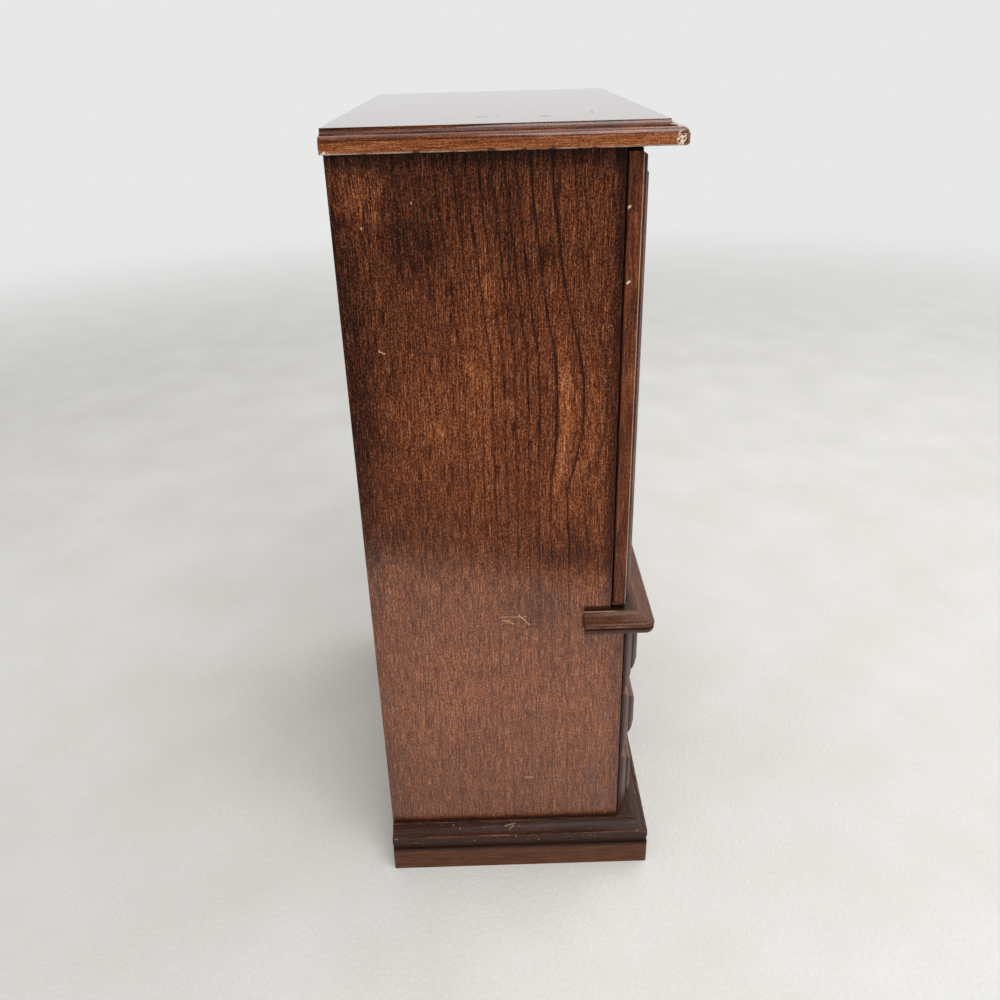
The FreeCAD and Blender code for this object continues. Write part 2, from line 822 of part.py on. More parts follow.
def ring_rolls(level):
    """Soft rolls across the left half of the top drawer; rings stand in the gaps between them."""
    base = partition_base(level)
    back = box_back + box_side_thickness + lining_clearance
    pitch = (front_back - lining_clearance - back) / ring_roll_count
    length = half_box_inside - partition_thickness / 2 - 2 * lining_clearance
    left = -half_box_inside + lining_clearance
    half = ring_roll_width / 2
    shoulder = ring_roll_height - ring_roll_crown
    section = [(-half, 0.0), (-half, shoulder), bow((-half, shoulder), (half, shoulder), ring_roll_crown), (half, 0.0)]
    rolls = []
    for index in range(ring_roll_count):
        middle = back + (index + 0.5) * pitch
        end = face(section, lambda across, rise, middle=middle: at(left, middle + across, base + rise))
        rolls.append(end.extrude(FreeCAD.Vector(length, 0, 0)))
    return Part.makeCompound(rolls)


def floor_pad():
    """Padded floor of the upper compartment."""
    half = half_inside - lining_clearance
    base = shelf_top + lining_clearance
    front = upper_depth - lining_clearance
    back = back_panel_thickness + 2 * lining_clearance + back_lining_thickness
    return block((-half, half), (back, front), (base, base + floor_pad_thickness))


def back_lining():
    """Thin padded lining over the back panel inside the upper compartment."""
    half = half_inside - lining_clearance
    back = back_panel_thickness + lining_clearance
    return block((-half, half), (back, back + back_lining_thickness),
                 (shelf_top + lining_clearance, top_underside - lining_clearance))


def carousel_plate():
    """Square brass plate under the top board, from which the carousel hangs."""
    half = plate_width / 2
    return block((-half, half), (carousel_depth - half, carousel_depth + half),
                 (top_underside - plate_thickness, top_underside))


def disc_top():
    """Height of the carousel disc's upper face."""
    return top_underside - plate_thickness - carousel_gap


def disc_underside():
    """Height of the carousel disc's lower face."""
    return disc_top() - disc_thickness


def carousel_spindle():
    """Fixed spindle riveted to the plate, with a head that carries the disc."""
    length = disc_thickness + 2 * carousel_gap
    shank = post(0.0, carousel_depth, top_underside - plate_thickness, spindle_diameter, -length)
    head = post(0.0, carousel_depth, disc_underside() - carousel_gap, spindle_head_diameter,
                -spindle_head_thickness)
    return shank.fuse(head).removeSplitter()


def carousel_disc():
    """Round wooden disc, bored to turn on the spindle."""
    disc = post(0.0, carousel_depth, disc_top(), disc_diameter, -disc_thickness)
    bore = spindle_diameter + 2 * spindle_clearance
    return disc.cut(post(0.0, carousel_depth, disc_top(), bore, -disc_thickness))


def hook():
    """One flat brass hook: a tab under the disc, a stem, a round bend outwards and a short tip."""
    top = disc_underside()
    under_tab = top - hook_thickness
    stem_in = hook_stem_reach
    stem_out = stem_in + hook_thickness
    tip_in = stem_out + 2 * hook_bend_radius
    tip_out = tip_in + hook_thickness
    bend = top - hook_stem_length
    tip = bend + hook_tip_length
    centre = (stem_out + hook_bend_radius, bend)
    outer_low = (centre[0], bend - hook_bend_radius - hook_thickness)
    inner_low = (centre[0], bend - hook_bend_radius)
    outline = [
        (stem_in - hook_tab_length, top),
        (stem_in - hook_tab_length, under_tab),
        (stem_in, under_tab),
        (stem_in, bend),
        (outer_low, (tip_out, bend)),
        (tip_out, tip),
        (tip_in, tip),
        (tip_in, bend),
        (inner_low, (stem_out, bend)),
        (stem_out, top),
    ]
    side = face(outline, lambda reach, z: at(reach, carousel_depth - hook_width / 2, z))
    return side.extrude(FreeCAD.Vector(0, -hook_width, 0))


def carousel_hooks():
    """The ring of hooks under the disc."""
    hooks = []
    for index in range(hook_count):
        turned = hook()
        turned.rotate(at(0.0, carousel_depth, 0.0), FreeCAD.Vector(0, 0, 1), 360.0 * index / hook_count)
        hooks.append(turned)
    return Part.makeCompound(hooks)


def drawer_nodes(name, level):
    """All pieces of one drawer."""
    grooves = []
    if name != "bottom_drawer":
        grooves.append(fore_and_aft_partition(level, partition_clearance))
    nodes = {
        name + "_front": drawer_front(level, grooves),
        name + "_sides": box_sides(level),
        name + "_back": box_back_board(level, grooves),
        name + "_bottom": box_bottom(level),
        name + "_lining": drawer_lining(level),
        name + "_knob": knob(0.0, front_face, level + front_height / 2),
    }
    if name == "top_drawer":
        nodes["top_drawer_partition"] = fore_and_aft_partition(level, 0.0)
        nodes["top_drawer_ring_rolls"] = ring_rolls(level)
    if name == "middle_drawer":
        nodes["middle_drawer_partitions"] = crossed_partitions(level)
    return nodes


def door_nodes(name, side):
    """All pieces of one door."""
    return {
        name + "_hinge_stile": door_member(side, "hinge"),
        name + "_meeting_stile": door_member(side, "meeting"),
        name + "_top_rail": door_member(side, "top"),
        name + "_bottom_rail": door_member(side, "bottom"),
        name + "_glass": door_glass(side),
        name + "_glazing_beads": glazing_beads(side),
        name + "_hinge_leaves": door_leaves(side),
        name + "_strike_plate": strike_plate(side),
        name + "_knob": knob(side * knob_offset(), door_face, knob_level()),
    }


def cabinet_nodes():
    """All fixed pieces of the cabinet."""
    lower_level, upper_level = divider_levels()
    return {
        "plinth_front_rail": plinth_front_rail(),
        "plinth_left_rail": plinth_side_rail(-1),
        "plinth_right_rail": plinth_side_rail(1),
        "plinth_back_rail": plinth_back_rail(),
        "plinth_glue_blocks": plinth_glue_blocks(),
        "bottom_board": housed_board(plinth_height, bottom_board_thickness),
        "lower_drawer_divider": housed_board(lower_level, divider_thickness),
        "upper_drawer_divider": housed_board(upper_level, divider_thickness),
        "left_side_panel": side_panel(-1),
        "right_side_panel": side_panel(1),
        "back_panel": back_panel(),
        "waist_shelf": waist_shelf(),
        "top_board": top_board(),
        "hinge_board_leaves": board_leaves(),
        "door_catches": door_catches(),
        "compartment_floor_pad": floor_pad(),
        "compartment_back_lining": back_lining(),
        "carousel_plate": carousel_plate(),
        "carousel_spindle": carousel_spindle(),
    }


def all_nodes():
    """Every node of the cabinet by name."""
    nodes = cabinet_nodes()
    nodes.update(door_nodes("left_door", -1))
    nodes.update(door_nodes("right_door", 1))
    for index, name in enumerate(drawer_names):
        level = plinth_height + front_gap_below + index * front_pitch
        nodes.update(drawer_nodes(name, level))
    nodes["carousel_disc"] = carousel_disc()
    nodes["carousel_hooks"] = carousel_hooks()
    return nodes


def main():
    """Write one STEP file per node."""
    os.makedirs("parts", exist_ok=True)
    for name, shape in all_nodes().items():
        shape.exportStep(os.path.join("parts", name + ".step"))
        print(name, "solids", len(shape.Solids), "valid", shape.isValid(), "mm3", round(shape.Volume, 1))


main()
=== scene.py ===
"""Looks of the jewelry cabinet: finishes, knobs, screws, velvet, ring rolls, floor, lights and camera."""
import math

import bmesh
import bpy
from mathutils import Matrix, Vector

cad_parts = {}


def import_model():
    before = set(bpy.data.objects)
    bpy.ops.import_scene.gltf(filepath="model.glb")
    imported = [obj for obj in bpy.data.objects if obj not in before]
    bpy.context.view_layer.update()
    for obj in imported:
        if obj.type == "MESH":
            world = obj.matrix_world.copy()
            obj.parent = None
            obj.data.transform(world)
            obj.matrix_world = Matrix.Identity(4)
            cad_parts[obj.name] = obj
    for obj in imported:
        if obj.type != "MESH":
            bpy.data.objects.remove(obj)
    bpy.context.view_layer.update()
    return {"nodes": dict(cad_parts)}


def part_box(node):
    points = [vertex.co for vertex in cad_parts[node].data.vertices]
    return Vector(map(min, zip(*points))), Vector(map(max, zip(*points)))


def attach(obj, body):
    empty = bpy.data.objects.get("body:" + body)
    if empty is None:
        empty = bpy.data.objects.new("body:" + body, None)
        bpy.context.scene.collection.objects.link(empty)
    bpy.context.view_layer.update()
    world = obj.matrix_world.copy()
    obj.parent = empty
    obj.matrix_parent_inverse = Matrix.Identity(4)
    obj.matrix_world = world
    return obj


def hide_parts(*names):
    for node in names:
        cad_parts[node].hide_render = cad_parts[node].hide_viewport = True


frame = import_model()
nodes = frame["nodes"]
MM = 0.001
SIDES = ("left", "right")
DRAWERS = ("top", "middle", "bottom")

# The camera of the photograph, places in mm
CAMERA_AT = (-558.07, 11.52, 477.06)
CAMERA_AIM = (-128.0, 9.37, 259.22)
CAMERA_ROLL = math.radians(-1.59)
CAMERA_LENS = 32.94
CAMERA_SENSOR = 36.0


def box_mm(node):
    """A node's lowest and highest corners in millimetres."""
    low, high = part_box(node)
    return low / MM, high / MM


# Building materials

class Tree:
    """A node tree under construction: each method adds a node and returns its output."""

    def __init__(self, tree):
        self.tree = tree

    def feed(self, socket, value):
        if isinstance(value, bpy.types.NodeSocket):
            self.tree.links.new(value, socket)
        else:
            socket.default_value = value

    def node(self, kind, inputs, **settings):
        made = self.tree.nodes.new(kind)
        for name, value in settings.items():
            setattr(made, name, value)
        for key, value in inputs.items():
            self.feed(made.inputs[key], value)
        return made

    def number(self, operation, *values):
        made = self.node("ShaderNodeMath", dict(enumerate(values)), operation=operation)
        return made.outputs[0]

    def product(self, *values):
        total = values[0]
        for value in values[1:]:
            total = self.number("MULTIPLY", total, value)
        return total

    def most(self, values):
        total = values[0]
        for value in values[1:]:
            total = self.number("MAXIMUM", total, value)
        return total

    def vector(self, operation, *values):
        made = self.node("ShaderNodeVectorMath", dict(enumerate(values)), operation=operation)
        return made.outputs[1 if operation in ("LENGTH", "DISTANCE", "DOT_PRODUCT") else 0]

    def stretched(self, place, factor):
        return self.vector("MULTIPLY", place, factor)

    def parts(self, vector):
        return self.node("ShaderNodeSeparateXYZ", {0: vector}).outputs

    def joined(self, x, y, z):
        return self.node("ShaderNodeCombineXYZ", {0: x, 1: y, 2: z}).outputs[0]

    def red(self, colour):
        return self.node("ShaderNodeSeparateColor", {0: colour}).outputs[0]

    def band(self, value, low, high, out_low=0.0, out_high=1.0):
        """A smooth step: out_low up to low, out_high from high on; low may be the larger of the two."""
        inputs = {0: value, 1: low, 2: high, 3: out_low, 4: out_high}
        return self.node("ShaderNodeMapRange", inputs, interpolation_type="SMOOTHSTEP").outputs[0]

    def light_path(self):
        return self.node("ShaderNodeLightPath", {}).outputs

    def either(self, share, first, second):
        """A mix of two shaders."""
        return self.node("ShaderNodeMixShader", {0: share, 1: first, 2: second}).outputs[0]


class Finish(Tree):
    """A material under construction."""

    def __init__(self, name):
        self.material = bpy.data.materials.new(name)
        self.material.use_nodes = True
        super().__init__(self.material.node_tree)
        self.shader = self.tree.nodes["Principled BSDF"]

    def dressed(self, inputs):
        """The material, with these inputs of its shader fed."""
        for name, value in inputs.items():
            self.feed(self.shader.inputs[name], value)
        return self.material

    def show(self, shader):
        self.feed(self.tree.nodes["Material Output"].inputs["Surface"], shader)

    def place(self):
        """Position on the part at rest, in millimetres."""
        coordinates = self.node("ShaderNodeTexCoord", {}).outputs["Object"]
        return self.stretched(coordinates, (1.0 / MM,) * 3)

    def noise(self, place, scale, detail, roughness=0.5, distortion=0.0):
        """Cloudy noise; scale is its features per millimetre, one for all axes or one for each."""
        if isinstance(scale, tuple):
            place, scale = self.stretched(place, scale), 1.0
        inputs = {"Vector": place, "Scale": scale, "Detail": detail, "Roughness": roughness}
        return self.node("ShaderNodeTexNoise", {**inputs, "Distortion": distortion}).outputs[0]

    def cells(self, place, stretch):
        """Scattered cells, as many per millimetre as each axis is stretched."""
        inputs = {"Vector": self.stretched(place, stretch), "Scale": 1.0, "Randomness": 1.0}
        return self.node("ShaderNodeTexVoronoi", inputs).outputs

    def mix(self, factor, a, b, mode="MIX"):
        inputs = {0: factor, 6: a, 7: b}
        return self.node("ShaderNodeMix", inputs, data_type="RGBA", blend_type=mode).outputs[2]

    def ramp(self, value, stops):
        made = self.node("ShaderNodeValToRGB", {0: value})
        elements = made.color_ramp.elements
        elements[0].position, elements[0].color = stops[0][0], (*stops[0][1], 1.0)
        elements[1].position, elements[1].color = stops[-1][0], (*stops[-1][1], 1.0)
        for position, colour in stops[1:-1]:
            elements.new(position).color = (*colour, 1.0)
        return made.outputs[0]

    def curve(self, value, points):
        """A smooth curve through points between 0 and 1."""
        made = self.node("ShaderNodeFloatCurve", {"Value": value})
        line = made.mapping.curves[0]
        line.points[0].location, line.points[1].location = points[0], points[-1]
        for point in points[1:-1]:
            line.points.new(*point)
        made.mapping.update()
        return made.outputs[0]

    def spot(self, place, centre, size, edge=0.0):
        """1 at the centre of an ellipsoid, falling to 0 at its rim."""
        offset = self.vector("SUBTRACT", place, centre)
        reach = self.vector("LENGTH", self.stretched(offset, tuple(1.0 / s for s in size)))
        return self.band(reach, 1.0, edge)

    def stroke(self, place, start, end, width):
        """1 along a straight mark from start to end, 0 beyond its width."""
        run = Vector(end) - Vector(start)
        offset = self.vector("SUBTRACT", place, start)
        share = self.vector("DOT_PRODUCT", offset, tuple(run / max(run.length_squared, 1e-6)))
        share = self.node("ShaderNodeClamp", {0: share}).outputs[0]
        nearest = self.node("ShaderNodeVectorMath", {0: tuple(run), 3: share}, operation="SCALE").outputs[0]
        return self.band(self.vector("DISTANCE", offset, nearest), width, width * 0.4)

    def bump(self, height, strength, distance):
        inputs = {"Strength": strength, "Distance": distance, "Height": height}
        return self.node("ShaderNodeBump", inputs).outputs[0]


# Wood

# The stain from its darkest to its most worn: tone, colour
STAIN = (
    (0.0, (0.026, 0.0060, 0.0022)),
    (0.22, (0.085, 0.0195, 0.0055)),
    (0.5, (0.170, 0.0450, 0.0125)),
    (0.74, (0.290, 0.0860, 0.0260)),
    (1.0, (0.420, 0.1580, 0.0610)),
)
# Pale bare wood where the stain has gone, also the colour that painted highlights on arrises are mixed
# towards
BARE_AND_HIGHLIGHT = (0.680, 0.4500, 0.2700)
PLAIN = ((0.1, (0.16, 0.085, 0.038)), (0.5, (0.36, 0.22, 0.115)), (0.95, (0.52, 0.36, 0.21)))

# How far each part of the figure moves the tone
BROAD_SHARE = 0.18
CLOUD_SHARE = 0.32
RING_SHARE = -0.14
PORE_SHARE = -0.20

# How much more the fibres stand out in green and blue than in red, and the least of each that stays; their
# pale, greyer ends are painted glints
FIBRE_HUE = (1.0, 1.75, 3.3)
FIBRE_LEAST = (0.2, 0.1, 0.05)

# Growth rings: place of the pith and its lean, width of a year in mm, and how far the years wander
STAINED_RINGS = {"pith": (40.0, 60.0), "tilt": 0.12, "spacing": 6.0, "wobble": 14.0}
PLAIN_RINGS = {"pith": (30.0, 40.0), "tilt": 0.08, "spacing": 5.0, "wobble": 12.0}

# Roughness of the stain, roughness of the lacquer over it, and how much lacquer there is
SATIN = (0.36, 0.16, 0.8)
SIDE_GLOSS = (0.36, 0.13, 0.9)
TOP_GLOSS = (0.24, 0.05, 1.0)
SHELF_GLOSS = (0.48, 0.25, 0.3)
PLINTH_GLOSS = (0.52, 0.35, 0.12)
DOOR_GLOSS = (0.42, 0.2, 0.4)
DRAWER_GLOSS = (0.48, 0.3, 0.25)


class Wood(Finish):
    """Wood under construction. out is the distance from the middle, for boards alike on both sides."""

    def __init__(self, name, tone):
        super().__init__(name)
        self.at = self.place()
        x, y, z = self.parts(self.at)
        self.axes = {"out": self.number("ABSOLUTE", x), "y": y, "z": z}
        self.tone = tone

    def grain(self, along, shift):
        """Position turned so that the grain runs along the last coordinate."""
        x, y, z = self.parts(self.vector("ADD", self.at, shift))
        turned = {"X": (y, z, x), "Y": (x, z, y), "Z": (y, x, z)}[along]
        return self.joined(*turned)

    def shade(self, mask, amount):
        """Moves the tone by an amount where the mask is 1."""
        self.tone = self.number("MULTIPLY_ADD", mask, amount, self.tone)

    def banded(self, *rows):
        """Moves the tone by rows: the amount and its bands, each an axis, where it starts and is full."""
        for amount, *bands in rows:
            masks = [self.band(self.axes[axis], low, high) for axis, low, high in bands]
            self.shade(self.product(*masks), amount)

    def patches(self, scale, low, high, stretch=(1.0, 1.0, 1.0)):
        """Uneven patches between 0 and 1."""
        return self.band(self.noise(self.stretched(self.at, stretch), scale, 3.0, 0.6), low, high)

    def wear_and_highlight_edges(self, wear_and_highlights, *edges):
        """1 along straight edges where the mask is 1, for lines of wear and for painted highlights on
        arrises: the two axes that each crosses, where, and its width.
        """
        wear_and_highlight_lines = []
        for a, b, at, width in edges:
            beside = self.number("SUBTRACT", self.axes[a], at[0])
            beyond = self.number("SUBTRACT", self.axes[b], at[1])
            reach = self.vector("LENGTH", self.joined(beside, beyond, 0.0))
            wear_and_highlight_lines.append(self.product(self.band(reach, width, width * 0.35), wear_and_highlights))
        return self.most(wear_and_highlight_lines)

    def dust(self, share):
        """Tiny pale specks over a share of the surface."""
        cell = self.cells(self.at, (0.38, 0.34, 0.40))
        chosen = self.number("LESS_THAN", self.red(cell["Color"]), share)
        return self.product(self.band(cell["Distance"], 0.16, 0.06), chosen)


def fibres(wood, grain):
    """Fine lines, specks and thin dark veins along the grain together, and broad streaks, about zero."""
    hair = wood.noise(grain, (2.5, 2.5, 0.085), 1.0, 0.6)
    sand = wood.noise(grain, (2.8, 2.8, 1.1), 1.0, 0.6)
    broad = wood.noise(grain, (0.55, 0.55, 0.008), 2.0, 0.6)
    vein = wood.number("SUBTRACT", wood.noise(grain, (0.42, 0.42, 0.010), 1.0, 0.5), 0.5)
    vein = wood.band(wood.number("ABSOLUTE", vein), 0.03, 0.004)
    fine = wood.number("SUBTRACT", wood.number("MULTIPLY_ADD", hair, 0.8, sand), 0.89)
    return wood.number("MULTIPLY_ADD", vein, -0.09, fine), wood.number("SUBTRACT", broad, 0.5)


def growth_rings(wood, grain, pith, tilt, spacing, wobble):
    """Growth rings about a tilted pith: dark where one year ends, fading into the next."""
    across, depth, run = wood.parts(grain)
    wander = wood.noise(grain, (0.03, 0.03, 0.006), 2.0, 0.5)
    x = wood.number("ADD", across, pith[0])
    y = wood.number("ADD", depth, wood.number("MULTIPLY_ADD", run, tilt, pith[1]))
    radius = wood.vector("LENGTH", wood.joined(x, y, 0.0))
    age = wood.number("DIVIDE", wood.number("MULTIPLY_ADD", wander, wobble, radius), spacing)
    year = wood.number("FRACT", age)
    return wood.product(wood.band(year, 0.35, 0.95), wood.band(year, 1.0, 0.95))


def stained_wood(name, along, shift, tone, gloss=SATIN, marks=None, ringed=True, contrast=1.3, gleam=0.6,
                 bare=BARE_AND_HIGHLIGHT, tint=(1.0, 1.0, 1.0)):
    """Satin stained wood with its grain along one axis.

    marks(wood) moves the tone where one board is lighter or darker, and says where it is bare with wear and
    where it carries a painted highlight.
    The fibres move the tone by contrast, a number or a function of the wood, and its brightness by gleam,
    which paints glints on them.
    """
    wood = Wood(name, tone)
    grain = wood.grain(along, shift)
    fine, broad = fibres(wood, grain)
    cloud = wood.noise(grain, (0.035, 0.035, 0.014), 3.0, 0.55)
    contrast = contrast(wood) if callable(contrast) else contrast
    wood.shade(fine, contrast)
    wood.shade(broad, BROAD_SHARE)
    wood.shade(wood.number("SUBTRACT", cloud, 0.5), CLOUD_SHARE)
    if ringed:
        wood.shade(growth_rings(wood, grain, **STAINED_RINGS), RING_SHARE)
    pore = wood.band(wood.cells(grain, (0.55, 0.55, 0.20))["Distance"], 0.17, 0.05)
    wood.shade(pore, PORE_SHARE)
    wear_and_highlights = marks(wood) if marks else None
    colour = wood.ramp(wood.tone, STAIN)
    # painted glints: the fibres' brightness, paler and less saturated at their bright end
    swing = wood.product(fine, wood.number("MULTIPLY", contrast, gleam))
    gain = wood.vector("MULTIPLY_ADD", wood.joined(swing, swing, swing), FIBRE_HUE, (1.0, 1.0, 1.0))
    gain = wood.vector("MAXIMUM", gain, FIBRE_LEAST)
    colour = wood.mix(1.0, colour, wood.stretched(gain, tint), "MULTIPLY")
    stain_roughness, lacquer_roughness, lacquer = gloss
    roughness = wood.band(fine, -0.3, 0.3, stain_roughness + 0.05, stain_roughness - 0.05)
    # the bare colour where the marks say: wear, and painted highlights on arrises
    if wear_and_highlights is not None:
        colour = wood.mix(wear_and_highlights, colour, (*bare, 1.0))
        roughness = wood.number("MULTIPLY_ADD", wear_and_highlights, 0.3, roughness)
    if not wood.shader.inputs["Coat Weight"].is_linked:
        wood.shader.inputs["Coat Weight"].default_value = lacquer
    return wood.dressed({
        "Base Color": colour,
        "Roughness": roughness,
        "Normal": wood.bump(wood.number("MULTIPLY_ADD", pore, -0.8, fine), 0.20, 0.0002),
        "Specular IOR Level": 0.25,
        "Coat Roughness": lacquer_roughness,
    })


def plain_wood(name, along, shift):
    """Unfinished inside wood, pale with fine straight grain."""
    wood = Wood(name, 0.5)
    grain = wood.grain(along, shift)
    fine, broad = fibres(wood, grain)
    wood.shade(broad, 0.35)
    wood.shade(fine, 0.9)
    wood.shade(growth_rings(wood, grain, **PLAIN_RINGS), -0.12)
    return wood.dressed({
        "Base Color": wood.ramp(wood.tone, PLAIN),
        "Roughness": wood.band(fine, -0.3, 0.3, 0.62, 0.48),
        "Normal": wood.bump(fine, 0.25, 0.0002),
    })


# The side panels

SIDE_TINT = (1.0, 0.945, 0.83)

# Lighter and darker bands in mm; the last two are the door's painted shadow and painted shade round the end
# of the shelf
SIDE_BANDS = (
    (-0.07, ("z", 330.0, 400.0)),
    # painted light and a painted reflection of the pale floor: lighter below the shelf
    (0.13, ("z", 226.0, 206.0)),
    (-0.05, ("z", 110.0, 60.0)),
    (-0.16, ("y", 68.0, 84.0)),
    # painted shade along the front edge
    (-0.20, ("y", -50.0, -60.0)),
    # painted shade under the top board's overhang
    (-0.26, ("z", 423.0, 433.0)),
    (-0.12, ("z", 38.0, 33.0)),
    (-0.50, ("z", 34.0, 31.2)),
    (-0.11, ("y", 5.0, 50.0), ("z", 205.0, 250.0)),
    (-0.38, ("y", -44.0, -51.0), ("z", 188.0, 192.0)),
    (-0.55, ("y", -35.5, -37.5), ("z", 192.0, 189.4), ("z", 175.5, 178.0)),
)
# The far side: darker towards the back edge, painted shade along the front edge and under the top board's
# overhang
FAR_BANDS = ((-0.12, ("y", 72.0, 84.0)), (-0.16, ("y", -50.0, -60.0)), (-0.18, ("z", 425.0, 433.0)))

# An orange flame in front of one growth line
FLAME = (0.28, ("year", -18.6, -19.6), ("year", -25.0, -21.0), ("z", 258.0, 275.0), ("z", 360.0, 318.0))

# Clouds of stain on the photographed side: centre and half size in mm (Y, Z), change of tone
SIDE_CLOUDS = (
    ((72.0, 416.0), (22.0, 20.0), 0.34),
    ((48.0, 396.0), (24.0, 36.0), -0.24),
    ((78.0, 330.0), (14.0, 95.0), -0.16),
    ((3.0, 400.0), (14.0, 40.0), -0.18),
    ((22.0, 416.0), (30.0, 24.0), -0.15),
    ((-16.0, 386.0), (7.0, 14.0), -0.26),
    ((-4.0, 350.0), (12.0, 50.0), -0.10),
    ((12.5, 376.0), (2.6, 22.0), 0.24),
    ((14.0, 320.0), (20.0, 90.0), 0.12),
    ((21.0, 333.0), (4.5, 12.0), 0.24),
    ((38.3, 300.5), (3.0, 7.0), 0.42),
    ((44.0, 310.0), (30.0, 60.0), 0.12),
    ((-34.0, 300.0), (16.0, 60.0), 0.10),
    ((-30.0, 226.0), (32.0, 20.0), -0.26),
    ((68.0, 238.0), (20.0, 14.0), -0.14),
    ((-12.0, 192.0), (24.0, 24.0), -0.14),
    ((20.0, 120.0), (90.0, 100.0), 0.05),
)

# Growth lines: distance from the side's middle in mm where they stand upright, strength
GROWTH_LINES = (
    (-37.7, 0.45),
    (-27.9, 1.0),
    (-18.2, 0.85),
    (-11.4, 0.6),
    (-6.4, 0.65),
    (-0.2, 0.5),
    (5.4, 0.55),
    (11.4, 0.6),
    (17.1, 0.35),
    (25.4, 0.35),
)
GROWTH_BEFORE = 0.4
GROWTH_AFTER = 1.1
YEAR_START = -60.0
YEAR_SPAN = 145.0

# How far they lean back and bulge forward, in mm and as a share of it against a share of the height
GROWTH_HEIGHT = 440.0
LEAN_REACH = 10.0
BULGE_REACH = 10.5
BULGE_LESS = 2.5
BULGE_START = (-5.0, -46.0)
GROWTH_LEAN = (
    (0.0, 0.0),
    (0.60, 0.0),
    (0.71, 0.0),
    (0.757, 0.03),
    (0.803, 0.25),
    (0.843, 0.42),
    (0.888, 0.60),
    (0.922, 0.78),
    (0.98, 0.96),
    (1.0, 1.0),
)
GROWTH_BULGE = (
    (0.0, 0.24),
    (0.50, 0.24),
    (0.53, 0.22),
    (0.575, 0.02),
    (0.605, 0.10),
    (0.625, 0.46),
    (0.658, 0.82),
    (0.689, 1.0),
    (0.729, 1.0),
    (0.746, 0.95),
    (0.791, 0.70),
    (0.825, 0.50),
    (0.871, 0.28),
    (1.0, 0.24),
)

# Pale nicks and scratches on the photographed side: ends in mm (Y, Z), half width
SIDE_NICKS = (
    ((11.2, 185.4), (-4.0, 184.8), 0.22),
    ((0.5, 186.3), (-5.7, 179.3), 0.35),
    ((10.1, 183.3), (2.8, 180.3), 0.25),
    ((66.1, 342.3), (63.3, 340.7), 0.45),
    ((-1.4, 65.5), (-6.4, 65.2), 0.40),
    ((69.4, 400.6), (69.3, 400.0), 0.45),
    ((46.0, 411.0), (45.6, 410.4), 0.40),
)


def side_contrast(wood):
    """The grain of the photographed side stands out less where the pale floor is mirrored."""
    return wood.band(wood.axes["z"], 185.0, 245.0, 1.0, 1.15)


def growth(wood, side, ragged):
    """Growth lines of a side panel: upright below, leaning back above, bulging forward at mid-height."""
    y, z = wood.parts(side)[1:]
    height = wood.number("DIVIDE", z, GROWTH_HEIGHT)
    year = wood.number("SUBTRACT", y, wood.product(wood.curve(height, GROWTH_LEAN), LEAN_REACH))
    bulge = wood.product(wood.curve(height, GROWTH_BULGE), wood.band(year, *BULGE_START, 0.0, BULGE_REACH))
    bulge = wood.number("SUBTRACT", bulge, wood.band(year, *BULGE_START, 0.0, BULGE_LESS))
    year = wood.number("MULTIPLY_ADD", ragged, 0.9, wood.number("ADD", year, bulge))
    stops = [(0.0, (0.0,) * 3)]
    for at, strength in GROWTH_LINES:
        for offset, shade in ((-GROWTH_BEFORE, 0.0), (0.0, strength), (GROWTH_AFTER, 0.0)):
            stops.append(((at + offset - YEAR_START) / YEAR_SPAN, (shade,) * 3))
    stops.append((1.0, (0.0,) * 3))
    line = wood.ramp(wood.number("DIVIDE", wood.number("ADD", year, -YEAR_START), YEAR_SPAN), stops)
    patchy = wood.band(wood.noise(side, (0.0, 0.12, 0.010), 2.0), 0.30, 0.58, 0.5, 1.0)
    return year, wood.product(wood.red(line), patchy)


def far_marks(wood):
    """The side away from the photograph: the same veneer turned over, without the marks of use."""
    turned_over = wood.number("MULTIPLY_ADD", wood.axes["y"], -1.0, -12.0)
    side = wood.joined(0.0, turned_over, wood.axes["z"])
    ragged = wood.number("SUBTRACT", wood.noise(side, (0.0, 0.17, 0.04), 3.0, 0.6), 0.5)
    line = growth(wood, side, ragged)[1]
    wood.banded(*FAR_BANDS)
    wood.shade(line, -0.50)
    wood.shade(ragged, 0.35)


def side_marks(wood):
    """What the photographed side panel shows: clouds, bands, bowed growth lines, specks and small marks."""
    side = wood.joined(0.0, wood.axes["y"], wood.axes["z"])
    ragged = wood.number("SUBTRACT", wood.noise(side, (0.0, 0.20, 0.05), 3.0, 0.6), 0.5)
    drift = wood.joined(0.0, wood.product(ragged, 16.0), wood.product(ragged, 50.0))
    loose = wood.vector("ADD", side, drift)
    for centre, size, amount in SIDE_CLOUDS:
        wood.shade(wood.spot(loose, (0.0, *centre), (1.0, *size)), amount)
    wood.banded(*SIDE_BANDS)
    wood.axes["year"], line = growth(wood, side, ragged)
    wood.shade(wood.product(line, wood.band(wood.axes["z"], 190.0, 250.0, 0.35, 1.0)), -0.80)
    wood.banded(FLAME)
    speck = wood.cells(side, (0.0, 0.16, 0.16))
    chosen = wood.number("GREATER_THAN", wood.red(speck["Color"]), 0.62)
    wood.shade(wood.product(wood.band(speck["Distance"], 0.10, 0.05), chosen), -0.55)
    shaky = wood.number("MULTIPLY_ADD", wood.noise(side, (0.0, 0.35, 0.35), 2.0), 2.0, -1.0)
    bent = wood.vector("ADD", side, wood.joined(0.0, 0.0, shaky))
    nicks = [wood.stroke(bent, (0.0, *start), (0.0, *end), width) for start, end, width in SIDE_NICKS]
    return wood.product(wood.most(nicks), 0.75)


# The moulded boards; their marks keep to the boxes of their nodes

